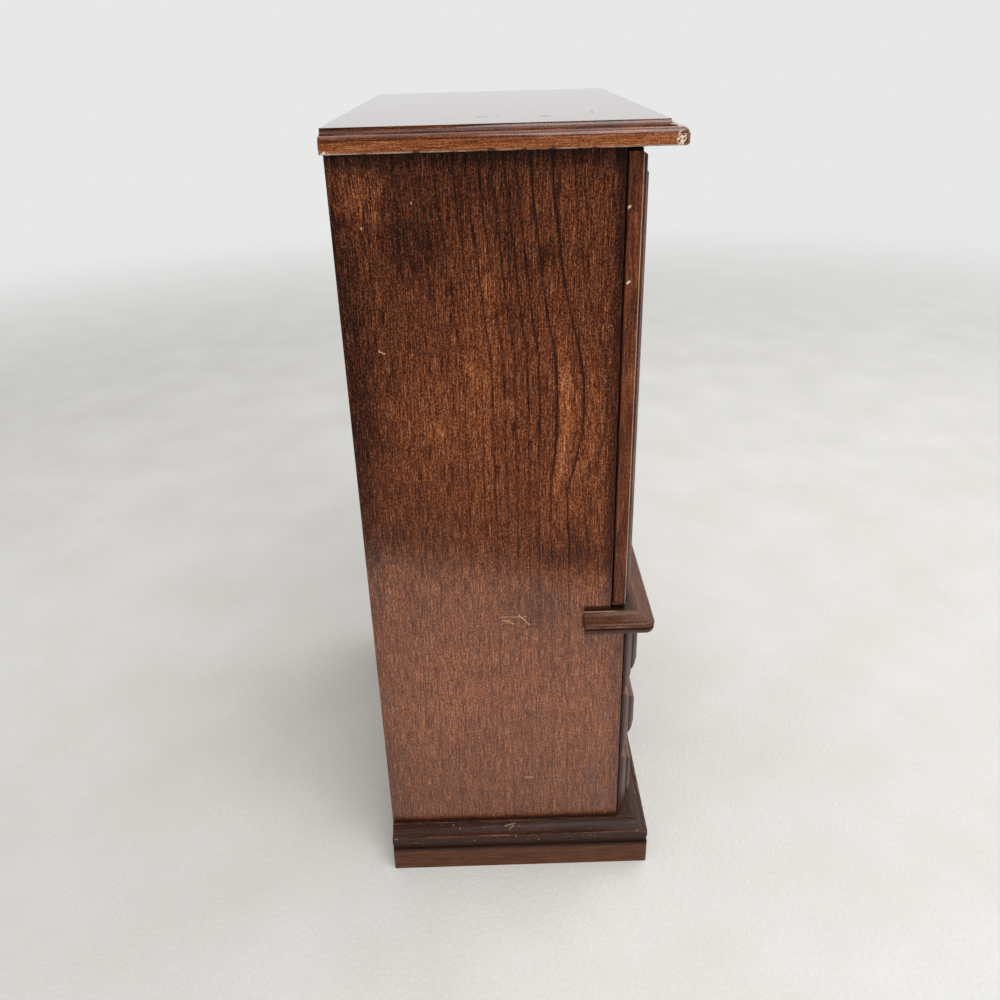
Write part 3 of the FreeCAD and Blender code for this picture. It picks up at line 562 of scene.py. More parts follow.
top_low, top_high = box_mm("top_board")
shelf_low, shelf_high = box_mm("waist_shelf")
plinth_low, plinth_high = box_mm("plinth_front_rail")
plinth_half = -box_mm("plinth_left_rail")[0].x
stile_low, stile_high = box_mm("left_door_hinge_stile")
front_low, front_high = box_mm("top_drawer_front")

TOP_BARE = (0.80, 0.71, 0.60)
# The doors' bare wood, also the colour of their painted arris highlights
DOOR_BARE_AND_HIGHLIGHT = (0.72, 0.56, 0.41)
SHELF_TINT = (0.95, 1.13, 1.16)
PLINTH_TINT = (0.96, 1.20, 1.32)

# Pale worn places and dark notches or dents on the top board: centre and half size in mm
TOP_PALE = (
    ((-138.9, -73.0, 435.8), (1.6, 2.6, 4.4)),
    ((-138.5, 80.4, 433.9), (1.6, 3.4, 1.0)),
)
TOP_DARK = (
    ((-138.6, 41.5, 433.3), (1.6, 2.4, 1.2)),
    ((-138.6, 9.1, 433.5), (1.6, 2.2, 1.2)),
    ((-138.6, -5.1, 433.3), (1.6, 1.6, 1.0)),
    ((-138.6, -17.6, 433.3), (1.6, 2.2, 1.1)),
    ((-138.6, -35.7, 433.3), (1.6, 1.6, 1.0)),
    ((-94.8, 12.7, 443.6), (2.0, 2.8, 0.6)),
    ((-88.3, 5.5, 443.6), (1.8, 0.8, 0.6)),
    ((-99.6, -17.0, 443.6), (2.6, 3.2, 0.6)),
    ((-83.1, -40.2, 443.6), (4.5, 0.9, 0.6)),
)

# Pale scratches on the side rails of the plinth, ends in mm (Y, Z), and dashes on its left arris (Y)
PLINTH_SCRATCHES = (
    ((12.0, 27.6), (5.5, 28.8)),
    ((9.0, 26.4), (6.5, 27.8)),
    ((5.5, 25.2), (4.8, 24.0)),
    ((-29.0, 23.4), (-29.2, 23.8)),
    ((-37.0, 23.9), (-37.3, 24.2)),
    ((-41.5, 24.1), (-42.4, 24.2)),
    ((-44.6, 24.2), (-45.0, 24.2)),
    ((41.0, 27.2), (40.4, 27.2)),
    ((32.0, 22.6), (31.0, 22.7)),
    ((69.0, 22.2), (68.4, 22.2)),
)
PLINTH_DASHES = ((20.0, 16.0), (14.5, 9.5))

# Chips and a rubbed place on the photographed door's edge, in mm (Y, Z)
DOOR_CHIPS = ((-52.6, 406.0), (-53.6, 371.7))
DOOR_RUB = (-56.0, 401.9)


def top_marks(wood):
    """The top board: the fascia lighter and more orange below its middle and the mouldings darker upwards,
    painted light and shade; wear along the fascia's lower edge, dents, a corner pale with wear.
    """
    half, under, face, front = top_high.x, top_low.z, top_high.z, top_low.y
    below_face = ("z", face - 0.05, face - 0.3)
    wood.banded(
        # painted light: the outer fascia lighter below its middle
        (0.13, ("z", under + 5.4, under + 4.7), ("out", half - 2.0, half - 0.4)),
        (-0.07, ("y", -30.0, 60.0)),
        # painted shade: the mouldings darker upwards, in two steps
        (-0.16, ("z", under + 4.8, under + 5.6), below_face),
        (-0.16, ("z", under + 7.6, under + 8.4), below_face),
        (-0.30, ("z", face - 0.1, face - 0.02)),
        (-0.42, ("y", front + 4.75, front + 0.75), ("z", under + 7.8, under + 5.8)),
    )
    rub = wood.wear_and_highlight_edges(wood.patches(0.09, 0.40, 0.56), ("out", "z", (half - 0.5, under + 0.2), 0.8))
    bare = [wood.product(rub, 0.42)]
    ragged = wood.patches(1.1, 0.46, 0.54, (1.0, 0.75, 1.0))
    for at, size in TOP_PALE:
        bare.append(wood.product(wood.spot(wood.at, at, size, 0.55), ragged))
    dark = wood.most([wood.spot(wood.at, at, size, 0.5) for at, size in TOP_DARK])
    wood.shade(dark, -0.8)
    dull = wood.product(dark, wood.band(wood.axes["z"], face - 1.0, face - 0.5))
    wood.feed(wood.shader.inputs["Coat Weight"], wood.number("SUBTRACT", 1.0, dull))
    return wood.product(wood.most(bare), wood.number("SUBTRACT", 1.0, dark))


def shelf_marks(wood):
    """The waist shelf: painted shade in the recess at its foot and on its top under the doors, arrises
    lighter with wear and painted highlights, dust.
    """
    half, under, face, front = shelf_high.x, shelf_low.z, shelf_high.z, shelf_low.y
    inner = (half - 8.2, face - 0.1)
    wood.banded(
        # painted shade in the recess at the shelf's foot
        (-0.10, ("z", under + 4.7, under + 4.1)),
        # painted shade on the shelf's top under the doors
        (-0.45, ("y", -66.0, -62.0), ("out", half - 8.0, half - 9.5), ("z", face - 0.6, face - 0.2)),
    )
    # lines along the arrises: wear and painted highlights
    wear_and_highlight_lines = wood.wear_and_highlight_edges(
        wood.patches(0.09, 0.30, 0.70),
        ("out", "z", inner, 0.5),
        ("out", "z", (half - 0.1, under + 6.1), 0.6),
        ("y", "z", (front + 8.35, face - 0.1), 0.5),
        ("y", "z", (front + 0.15, under + 6.1), 0.6),
    )
    # painted highlight along the top arris at the shelf's end
    horn_highlight = wood.wear_and_highlight_edges(wood.band(wood.axes["y"], -55.0, -52.0), ("out", "z", inner, 0.6))
    wood.shade(wear_and_highlight_lines, 0.42)
    marks = ((wear_and_highlight_lines, 0.22), (horn_highlight, 0.55), (wood.dust(0.30), 0.30))
    return wood.most([wood.product(mark, share) for mark, share in marks])


def plinth_marks(wood):
    """The plinth: dirt-darkened mouldings, a groove near black with painted shade under the bead, flecked
    arrises lighter with wear and painted highlights.
    """
    y, z, top, front = wood.axes["y"], wood.axes["z"], plinth_high.z, plinth_low.y
    inner, outer, step = plinth_half - 7.9, plinth_half - 0.9, top - 5.2
    moulding = ("z", 19.5, 21.5)
    # the second band is painted shade: the groove under the bead near black
    wood.banded((-0.29, moulding), (-0.34, ("z", 14.2, 15.2), ("z", 21.4, 20.6)))
    # lines along the arrises: wear and painted highlights
    wear_and_highlight_lines = wood.wear_and_highlight_edges(
        wood.patches(0.07, 0.30, 0.75),
        ("out", "z", (inner, top - 0.1), 0.5),
        ("out", "z", (outer, step), 0.5),
        ("y", "z", (front + 7.95, top - 0.1), 0.5),
        ("y", "z", (front + 0.85, step), 0.5),
    )
    wood.shade(wear_and_highlight_lines, 0.36)
    side = wood.joined(0.0, y, z)
    scratches = [wood.stroke(side, (0.0, *start), (0.0, *end), 0.32) for start, end in PLINTH_SCRATCHES]
    for start, end in PLINTH_DASHES:
        scratches.append(wood.stroke(wood.at, (-outer, start, step), (-outer, end, step), 0.45))
    fleck = wood.band(wood.cells(wood.at, (0.20, 0.13, 0.30))["Distance"], 0.13, 0.05)
    marks = [wood.product(fleck, wood.band(z, *moulding[1:]), wood.patches(0.05, 0.50, 0.58))]
    for mark, share in ((wear_and_highlight_lines, 0.4), (wood.most(scratches), 0.85), (wood.dust(0.22), 0.6)):
        marks.append(wood.product(mark, share))
    return wood.product(wood.most(marks), 0.45)


def door_marks(wood):
    """A door member: painted highlights along its outer arrises, chips in its edge, darker steps and foot.
    """
    half, back = -stile_low.x, stile_high.y
    # painted highlights along the outer arrises, which lighten the tone and are mixed towards the pale
    # colour
    wear_and_highlight_lines = wood.wear_and_highlight_edges(
        wood.patches(0.12, 0.20, 0.50),
        ("out", "y", (half - 0.1, back - 0.05), 0.5),
        ("out", "y", (half - 0.3, back - 7.15), 0.6),
        ("out", "y", (half - 2.7, back - 9.05), 0.6),
    )
    edge = 0.1 - half
    chips = [wood.stroke(wood.at, (edge, y, z), (edge, y - 0.9, z + 0.7), 0.75) for y, z in DOOR_CHIPS]
    wood.shade(wood.spot(wood.at, (edge, *DOOR_RUB), (2.0, 2.6, 3.6)), 0.22)
    wood.banded((-0.22, ("y", -59.2, -59.8), ("out", 118.0, 122.0)), (-0.10, ("z", 270.0, 200.0)))
    wood.shade(wear_and_highlight_lines, 0.36)
    return wood.most([wood.product(wood.most(chips), 0.95), wood.product(wear_and_highlight_lines, 0.36)])


def drawer_marks(wood):
    """A drawer front: painted shade on its end grain faces, its arrises lighter with wear at the ends."""
    edge = ("out", "y", (front_high.x - 0.2, front_low.y + 2.75), 0.6)
    rub = wood.wear_and_highlight_edges(wood.patches(0.12, 0.38, 0.60), edge)
    normal = wood.parts(wood.node("ShaderNodeNewGeometry", {}).outputs["Normal"])
    # painted shade on the faces that look sideways, the end grain
    wood.shade(wood.band(wood.number("ABSOLUTE", normal[0]), 0.3, 0.7), -0.30)
    wood.shade(rub, 0.28)
    return wood.product(rub, 0.15)


# Other finishes

def brass(name):
    """Lacquered brass, slightly toned, with fine scuffs."""
    finish = Finish(name)
    place = finish.place()
    scuff = finish.noise(place, (0.6, 0.6, 3.0), 3.0, 0.6)
    return finish.dressed({
        "Base Color": finish.ramp(finish.noise(place, 0.22, 3.0, 0.6), (
            (0.25, (0.42, 0.25, 0.075)),
            (0.55, (0.66, 0.44, 0.15)),
            (0.8, (0.78, 0.56, 0.24)),
        )),
        "Roughness": finish.band(scuff, 0.3, 0.75, 0.20, 0.36),
        "Normal": finish.bump(scuff, 0.08, 0.0001),
        "Metallic": 1.0,
    })


def bronze(name):
    """Bronze of the hinge leaves, dark as painted shade in the door gaps, brighter in places from handling.
    """
    finish = Finish(name)
    rub = finish.noise(finish.place(), 0.6, 3.0, 0.6)
    return finish.dressed({
        # painted shade: dark leaves that read as the shade in the door gaps
        "Base Color": finish.ramp(rub, ((0.35, (0.030, 0.018, 0.010)), (0.75, (0.110, 0.066, 0.030)))),
        "Roughness": finish.band(rub, 0.3, 0.7, 0.58, 0.40),
        "Metallic": 1.0,
    })


def steel(name):
    """Zinc-plated steel with a dull, cloudy surface."""
    finish = Finish(name)
    cloud = finish.noise(finish.place(), 0.5, 3.0, 0.6)
    return finish.dressed({
        "Base Color": finish.ramp(cloud, ((0.3, (0.36, 0.36, 0.35)), (0.7, (0.58, 0.58, 0.57)))),
        "Roughness": finish.band(cloud, 0.3, 0.7, 0.28, 0.46),
        "Metallic": 1.0,
    })


def catch_plastic(name):
    """Brown moulded plastic of the magnetic catches, finely grained."""
    finish = Finish(name)
    grain = finish.noise(finish.place(), 2.5, 2.0, 0.5)
    return finish.dressed({
        "Base Color": finish.ramp(grain, ((0.3, (0.050, 0.022, 0.012)), (0.7, (0.085, 0.040, 0.022)))),
        "Roughness": finish.band(grain, 0.3, 0.7, 0.40, 0.55),
        "Normal": finish.bump(grain, 0.15, 0.0001),
    })


def glass(name):
    """Clear pane with faint smears, which lets light straight through to the inside."""
    finish = Finish(name)
    smear = finish.noise(finish.place(), (0.03, 0.03, 0.012), 3.0, 0.6)
    path = finish.light_path()
    straight = finish.number("MAXIMUM", path["Is Shadow Ray"], path["Is Diffuse Ray"])
    clear = finish.node("ShaderNodeBsdfTransparent", {"Color": (0.93, 0.96, 0.94, 1.0)}).outputs[0]
    finish.show(finish.either(straight, finish.shader.outputs[0], clear))
    return finish.dressed({
        "Base Color": (0.96, 0.98, 0.97, 1.0),
        "Roughness": finish.band(smear, 0.45, 0.75, 0.0, 0.03),
        "IOR": 1.33,
        "Transmission Weight": 1.0,
    })


def velvet(name):
    """Short-pile burgundy velvet: nap brushed in soft patches, fine pile grain."""
    finish = Finish(name)
    place = finish.place()
    nap = finish.noise(place, 0.045, 3.0, 0.55, 0.6)
    pile = finish.noise(place, 1.3, 1.0, 0.5)
    tone = finish.number("MULTIPLY_ADD", pile, 0.16, finish.product(nap, 0.84))
    return finish.dressed({
        "Base Color": finish.ramp(tone, (
            (0.15, (0.095, 0.008, 0.014)),
            (0.5, (0.180, 0.017, 0.028)),
            (0.9, (0.300, 0.040, 0.058)),
        )),
        "Roughness": 0.9,
        "Specular IOR Level": 0.2,
        "Sheen Weight": 0.5,
        "Sheen Roughness": 0.4,
        "Sheen Tint": (0.95, 0.40, 0.45, 1.0),
        "Normal": finish.bump(pile, 0.15, 0.0002),
    })


# Finishes of the CAD nodes

def assign(names, material):
    for name in names:
        data = nodes[name].data
        data.materials.clear()
        data.materials.append(material)
        for polygon in data.polygons:
            polygon.material_index = 0


def soften(names, width):
    """Eases the arrises of CAD nodes by a width in mm, so that they catch the light."""
    for name in names:
        made = nodes[name]
        weld = made.modifiers.new("weld", "WELD")
        weld.merge_threshold = 0.002 * MM
        bevel = made.modifiers.new("ease", "BEVEL")
        bevel.width = width * MM
        bevel.segments = 2
        bevel.limit_method = "ANGLE"
        bevel.angle_limit = math.radians(38.0)
        bevel.harden_normals = True


brass_finish = brass("brass_lacquered")
velvet_finish = velvet("velvet_burgundy")


def finish_carcass():
    assign(["left_side_panel"], stained_wood(
        "wood_photographed_side", "Z", (0, 0, 0), 0.40, SIDE_GLOSS, side_marks, ringed=False,
        contrast=side_contrast, gleam=2.0, tint=SIDE_TINT))
    assign(["right_side_panel"], stained_wood(
        "wood_far_side", "Z", (310, 140, 70), 0.44, SIDE_GLOSS, far_marks, ringed=False,
        contrast=1.05, gleam=1.7, tint=SIDE_TINT))
    assign(["top_board"], stained_wood(
        "wood_top", "Y", (55, 210, 40), 0.62, TOP_GLOSS, top_marks, contrast=1.2, bare=TOP_BARE))
    assign(["waist_shelf"], stained_wood(
        "wood_shelf", "X", (75, 20, 160), 0.26, SHELF_GLOSS, shelf_marks, ringed=False,
        contrast=0.9, tint=SHELF_TINT))
    for name, along, shift, rails in (
        ("wood_plinth_front", "X", (15, 90, 260), ("front", "back")),
        ("wood_plinth_side", "Y", (35, 190, 60), SIDES),
    ):
        assign([f"plinth_{rail}_rail" for rail in rails], stained_wood(
            name, along, shift, 0.31, PLINTH_GLOSS, plinth_marks, ringed=False,
            contrast=0.8, tint=PLINTH_TINT))
    assign(["back_panel"], plain_wood("plain_back", "Z", (90, 0, 30)))
    boards = ["bottom_board", "lower_drawer_divider", "upper_drawer_divider", "plinth_glue_blocks"]
    assign(boards, plain_wood("plain_boards", "X", (5, 80, 30)))


def finish_doors():
    for side, step in zip(SIDES, (100, 480)):
        for part, along, shift, members in (
            ("stiles", "Z", (step, 60, 20), ("hinge_stile", "meeting_stile")),
            ("rails", "X", (20, step, 90), ("top_rail", "bottom_rail")),
        ):
            assign([f"{side}_door_{member}" for member in members], stained_wood(
                f"wood_{side}_{part}", along, shift, 0.40, DOOR_GLOSS, door_marks,
                contrast=1.0, bare=DOOR_BARE_AND_HIGHLIGHT))
        assign([f"{side}_door_glazing_beads"], stained_wood(f"wood_{side}_beads", "Z", (step, 30, 10), 0.40))


def finish_drawers():
    for number, drawer in enumerate(DRAWERS):
        assign([f"{drawer}_drawer_front"], stained_wood(
            f"wood_{drawer}_front", "X", (140 * number, 30, 75 * number), 0.34, DRAWER_GLOSS, drawer_marks,
            contrast=0.8))
        sides = plain_wood(f"plain_{drawer}_sides", "Y", (20 * number, 0, 40 * number))
        assign([f"{drawer}_drawer_sides"], sides)
        box = plain_wood(f"plain_{drawer}_box", "X", (0, 50 * number, 9))
        assign([f"{drawer}_drawer_back", f"{drawer}_drawer_bottom"], box)
    assign(["top_drawer_partition"], plain_wood("plain_partition", "Y", (9, 9, 9)))
    assign(["middle_drawer_partitions"], plain_wood("plain_partitions", "X", (19, 9, 9)))


def finish_fittings():
    doors_and_drawers = [f"{side}_door" for side in SIDES] + [f"{drawer}_drawer" for drawer in DRAWERS]
    assign(["carousel_disc"], stained_wood("wood_disc", "X", (400, 33, 8), 0.46))
    assign(["carousel_plate", "carousel_spindle", "carousel_hooks"], brass_finish)
    assign([f"{name}_knob" for name in doors_and_drawers], brass_finish)
    leaves = ["hinge_board_leaves", "left_door_hinge_leaves", "right_door_hinge_leaves"]
    assign(leaves, bronze("bronze_painted_shade"))
    assign([f"{side}_door_strike_plate" for side in SIDES], steel("steel_zinc"))
    assign(["door_catches"], catch_plastic("catch_brown"))
    assign([f"{side}_door_glass" for side in SIDES], glass("glass_clear"))
    soft = ["compartment_floor_pad", "compartment_back_lining", "top_drawer_ring_rolls"]
    assign(soft + [f"{drawer}_drawer_lining" for drawer in DRAWERS], velvet_finish)


def ease_arrises():
    soften(["left_side_panel", "right_side_panel", "top_board", "waist_shelf"], 0.35)
    soften([f"plinth_{rail}_rail" for rail in ("front", "left", "right")], 0.3)
    for side in SIDES:
        members = ("hinge_stile", "meeting_stile", "top_rail", "bottom_rail")
        soften([f"{side}_door_{member}" for member in members], 0.25)
    soften([f"{drawer}_drawer_front" for drawer in DRAWERS], 0.3)


# Pieces made here

# The screw of a door's knob, in mm from the cabinet's middle and foot
SCREW_OUT = 15.6
SCREW_UP = 310.7
SCREW_RADIUS = 3.0

# Rows across a velvet pad: near its rim as shares of the rim's width, and further in mm
PAD_RIM_STOPS = (0.0, 0.08, 0.25, 0.5, 0.8, 1.2)
PAD_GRID = 4.0

# The ring rolls, in mm
ROLL_COUNT = 7
ROLL_INSET = 1.1
ROLL_GAP = 0.15
ROLL_SIDES = 24
ROLL_END = 5.5
ROLL_END_STOPS = (0.0, 0.5, 1.4, 3.0, ROLL_END)
ROLL_RUNS = 20
ROLLS_TURNED_END_FOR_END = (1, 2, 5)
ROLLS_TURNED_FRONT_TO_BACK = (2, 3, 6)

# Cloth simulation that swells a ring roll
ROLL_VOXEL = 1.7
ROLL_FRAMES = 20
ROLL_CLOTH = {
    "quality": 6,
    "mass": 0.2,
    "tension_stiffness": 12.0,
    "compression_stiffness": 12.0,
    "shear_stiffness": 4.0,
    "bending_stiffness": 0.4,
    "use_pressure": True,
    "uniform_pressure_force": 4.0,
    "vertex_group_mass": "held",
}


def place_piece(name, mesh, body, material):
    made = bpy.data.objects.new(name, mesh)
    bpy.context.scene.collection.objects.link(made)
    mesh.materials.clear()
    mesh.materials.append(material)
    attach(made, body)
    return made


def reshape(mesh, change=None):
    """Changes a mesh and turns all its faces outward."""
    shape = bmesh.new()
    shape.from_mesh(mesh)
    if change:
        change(shape)
    bmesh.ops.recalc_face_normals(shape, faces=shape.faces)
    shape.to_mesh(mesh)
    shape.free()


def facing(direction):
    """The turn that lays the Z axis along a direction."""
    return Vector(direction).to_track_quat("Z", "Y").to_matrix()


def mesh_of(name, points, faces, sharp=35.0):
    """A smooth-shaded mesh in metres from points in millimetres, with creases kept sharp."""
    mesh = bpy.data.meshes.new(name)
    mesh.from_pydata([Vector(p) * MM for p in points], [], faces)
    mesh.validate()
    reshape(mesh)
    mesh.shade_smooth()
    mesh.set_sharp_from_angle(angle=math.radians(sharp))
    return mesh


def turned(name, profile, base, direction, steps=48):
    """A turned shape: profile is (radius, height) from its base along a direction."""
    turn = facing(direction)
    points, faces, rows = [], [], []
    for radius, height in profile:
        if radius == 0:
            rows.append([len(points)])
            points.append(Vector(base) + turn @ Vector((0, 0, height)))
            continue
        row = []
        for step in range(steps):
            angle = 2 * math.pi * step / steps
            row.append(len(points))
            around = Vector((radius * math.cos(angle), radius * math.sin(angle), height))
            points.append(Vector(base) + turn @ around)
        rows.append(row)
    for low, high in zip(rows, rows[1:]):
        for step in range(steps):
            after = (step + 1) % steps
            below = [low[step % len(low)], low[after % len(low)]]
            above = [high[after % len(high)], high[step % len(high)]]
            faces.append(list(dict.fromkeys(below + above)))
    return mesh_of(name, points, faces)


def knob_profile(length):
    """A turned brass knob: a ringed foot, a waisted neck and a domed head with a raised button."""
    profile = [(0.0, 0.0), (3.6, 0.0), (3.7, 0.5), (3.45, 1.1), (2.9, 1.3)]
    neck, waist, head = (2.55, 1.6), (2.0, 4.2), (4.3, 8.2)
    profile.append(neck)
    quarters = (0.25, 0.5, 0.75, 1.0)
    for share in quarters:
        radius = neck[0] - (neck[0] - waist[0]) * math.sin(math.pi * share / 2)
        profile.append((radius, neck[1] + (waist[1] - neck[1]) * share))
    for share in quarters:
        radius = waist[0] + (head[0] - waist[0]) * (1 - math.cos(math.pi * share / 2))
        profile.append((radius, waist[1] + (head[1] - waist[1]) * share))
    profile += [(5.1, 8.7), (5.75, 9.2), (6.0, 9.8), (5.95, 10.4), (5.65, 10.75), (5.2, 10.85)]
    rim, button = (5.0, 11.1), length - 1.3
    profile.append(rim)
    for share in (0.2, 0.4, 0.6, 0.8):
        profile.append((rim[0] - 2.6 * share, rim[1] + (button - rim[1]) * math.sin(math.pi * share / 2)))
    profile += [(2.35, button + 0.1), (2.3, button + 0.45), (2.0, button + 0.85), (1.3, length - 0.12)]
    profile.append((0.0, length))
    return profile


def knob(name, body):
    low, high = box_mm(name)
    base = ((low.x + high.x) / 2, high.y, (low.z + high.z) / 2)
    mesh = turned(f"turned_{name}", knob_profile(high.y - low.y), base, (0, -1, 0))
    made = place_piece(f"turned_{name}", mesh, body, brass_finish)
    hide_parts(name)


def screw_head(name, at, direction, radius, body):
    """A domed screw head with a straight slot sawn across it."""
    rise, slot, deep = radius * 0.45, radius * 0.16, radius * 0.28
    profile = [(radius, 0.0)]
    for share in (0.2, 0.45, 0.7, 0.9):
        profile.append((radius * math.cos(share * math.pi / 2), rise * math.sin(share * math.pi / 2)))
    profile.append((0.0, rise))
    mesh = turned(name, profile, at, direction, 32)
    turn, centre = facing(direction), Vector(at)
    across, outward = turn @ Vector((1, 0, 0)), turn @ Vector((0, 0, 1))

    def saw(shape):
        for normal in (-across, across):
            every = shape.verts[:] + shape.edges[:] + shape.faces[:]
            through = (centre + normal * slot) * MM
            bmesh.ops.bisect_plane(shape, geom=every, plane_co=through, plane_no=normal)
        strip = []
        for face in shape.faces:
            if abs((face.calc_center_median() / MM - centre).dot(across)) < slot * 0.98:
                strip.append(face)
        cut = bmesh.ops.extrude_face_region(shape, geom=strip)
        bmesh.ops.delete(shape, geom=strip, context="FACES_ONLY")
        for vert in [v for v in cut["geom"] if isinstance(v, bmesh.types.BMVert)]:
            height = (vert.co / MM - centre).dot(outward)
            vert.co -= outward * min(deep, max(height, 0.0)) * MM

    reshape(mesh, saw)
    mesh.set_sharp_from_angle(angle=math.radians(35))
    place_piece(name, mesh, body, brass_finish)


def knob_screws():
    """The screws that hold the door knobs, behind each door."""
    for side, sign in zip(SIDES, (-1, 1)):
        at = (sign * SCREW_OUT, stile_high.y, SCREW_UP)
        screw_head(f"{side}_door_knob_screw", at, (0, 1, 0), SCREW_RADIUS, f"{side}_door")


def velvet_pad(name, node, body, normal, rim, crown, wave):
    """A thin velvet-covered pad: flat behind, rolled at its rim, softly crowned and uneven in front."""
    low, high = box_mm(node)
    axis = "XYZ".index(normal[-1])
    outward = -1.0 if normal.startswith("-") else 1.0
    u_axis, v_axis = [i for i in range(3) if i != axis]
    u_size, v_size = high[u_axis] - low[u_axis], high[v_axis] - low[v_axis]
    thick = high[axis] - low[axis]
    back = low[axis] if outward > 0 else high[axis]

    def spread(size):
        near = [stop * rim for stop in PAD_RIM_STOPS]
        count = max(2, int((size - 2 * near[-1]) / PAD_GRID))
        inner = [near[-1] + (size - 2 * near[-1]) * i / count for i in range(1, count)]
        return near + inner + [size - stop for stop in reversed(near)]

    def height(u, v):
        edge = min(u, v, u_size - u, v_size - v)
        roll = math.sqrt(max(0.0, 1 - (1 - min(edge / rim, 1.0)) ** 2))
        dome = math.sin(math.pi * u / u_size) * math.sin(math.pi * v / v_size)
        ripple = math.sin(u * 0.11 + 1.3 * math.sin(v * 0.07))
        ripple *= math.sin(v * 0.093 + 0.8 * math.sin(u * 0.05))
        full = 1 - crown - wave + crown * dome ** 0.5 + wave * ripple * min(edge / (3 * rim), 1.0)
        return thick * min(max(roll * full, 0.0), 1.0)

    us, vs = spread(u_size), spread(v_size)
    points, faces = [], []
    for is_front in (True, False):
        for u in us:
            for v in vs:
                point = [0.0, 0.0, 0.0]
                point[u_axis] = low[u_axis] + u
                point[v_axis] = low[v_axis] + v
                point[axis] = back + outward * (height(u, v) if is_front else 0.0)
                points.append(point)
    columns, behind = len(vs), len(us) * len(vs)
    for i in range(len(us) - 1):
        for j in range(columns - 1):
            a = i * columns + j
            faces.append((a, a + 1, a + columns + 1, a + columns))
            faces.append((behind + a, behind + a + columns, behind + a + columns + 1, behind + a + 1))
    mesh = mesh_of(name, points, faces, 180.0)
    reshape(mesh, lambda shape: bmesh.ops.remove_doubles(shape, verts=shape.verts, dist=0.02 * MM))
    made = place_piece(name, mesh, body, velvet_finish)
    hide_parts(node)


def loaf(name, low, high):
    """A foam roll before it is covered: flat beneath, round above, its ends tucked in."""
    x_low, y_low, z_low = low
    x_high, y_high, z_high = high
    length, width, rise = x_high - x_low, y_high - y_low, z_high - z_low
    middle = (y_low + y_high) / 2
    outline = []
    for step in range(ROLL_SIDES):
        angle = 2 * math.pi * step / ROLL_SIDES
        c, s = math.cos(angle), math.sin(angle)
        side = math.copysign(abs(c) ** 0.55, c)
        lift = math.copysign(abs(s) ** (0.75 if s > 0 else 0.35), s)
        outline.append((side, lift))
    runs = list(ROLL_END_STOPS)
    runs += [ROLL_END + (length - 2 * ROLL_END) * i / ROLL_RUNS for i in range(1, ROLL_RUNS)]
    runs += [length - stop for stop in reversed(ROLL_END_STOPS)]
    points, faces = [], []
    for run in runs:
        end = min(run, length - run)
        fullness = 0.55 + 0.45 * math.sqrt(max(0.0, 1 - (1 - min(end / ROLL_END, 1.0)) ** 2))
        for side, lift in outline:
            y = middle + side * width / 2 * fullness
            z = z_low + rise * (0.45 + (lift * 0.55 * fullness if lift > 0 else lift * 0.45))
            points.append((x_low + run, y, z))
    for i in range(len(runs) - 1):
        here, there = i * ROLL_SIDES, (i + 1) * ROLL_SIDES
        for j in range(ROLL_SIDES):
            after = (j + 1) % ROLL_SIDES
            faces.append((here + j, here + after, there + after, there + j))
    faces.append(tuple(range(ROLL_SIDES)))
    faces.append(tuple(range((len(runs) - 1) * ROLL_SIDES, len(runs) * ROLL_SIDES)))
    return mesh_of(name, points, faces, 180.0)


def inflate(mesh, voxel, cap):
    """Lets a padded shape swell under pressure as cloth, held along its underside, and returns the mesh."""
    scene = bpy.context.scene
    made = bpy.data.objects.new("swelling", mesh)
    scene.collection.objects.link(made)
    remesh = made.modifiers.new("remesh", "REMESH")
    remesh.mode = "VOXEL"
    remesh.voxel_size = voxel * MM
    graph = bpy.context.evaluated_depsgraph_get()
    even = bpy.data.meshes.new_from_object(made.evaluated_get(graph))
    made.modifiers.clear()
    made.data = even
    start = [v.co.copy() for v in even.vertices]
    held_below = min(p.z for p in start) + 1.2 * voxel * MM
    held = made.vertex_groups.new(name="held")
    held.add([i for i, p in enumerate(start) if p.z < held_below], 1.0, "REPLACE")
    cloth = made.modifiers.new("cloth", "CLOTH")
    for setting, value in ROLL_CLOTH.items():
        setattr(cloth.settings, setting, value)
    cloth.settings.effector_weights.gravity = 0.0
    cloth.collision_settings.use_collision = False
    for number in range(1, ROLL_FRAMES + 1):
        scene.frame_set(number)
    graph = bpy.context.evaluated_depsgraph_get()
    swollen = made.evaluated_get(graph).to_mesh()
    for vertex, before, after in zip(even.vertices, start, swollen.vertices):
        move = after.co - before
        if move.length > cap * MM:
            move = move.normalized() * cap * MM
        vertex.co = before + move
    made.evaluated_get(graph).to_mesh_clear()
    scene.frame_set(1)
    bpy.data.objects.remove(made)
    even.shade_smooth()
    return even


def fit_between(mesh, room):
    """Squeezes a mesh along each axis where it is longer than its room, which is in mm."""
    for axis in range(3):
        places = [v.co[axis] for v in mesh.vertices]
        low, high = min(places), max(places)
        room_low, room_high = room[axis][0] * MM, room[axis][1] * MM
        if high - low > room_high - room_low:
            for vertex in mesh.vertices:
                share = (vertex.co[axis] - low) * (room_high - room_low) / (high - low)
                vertex.co[axis] = room_low + share


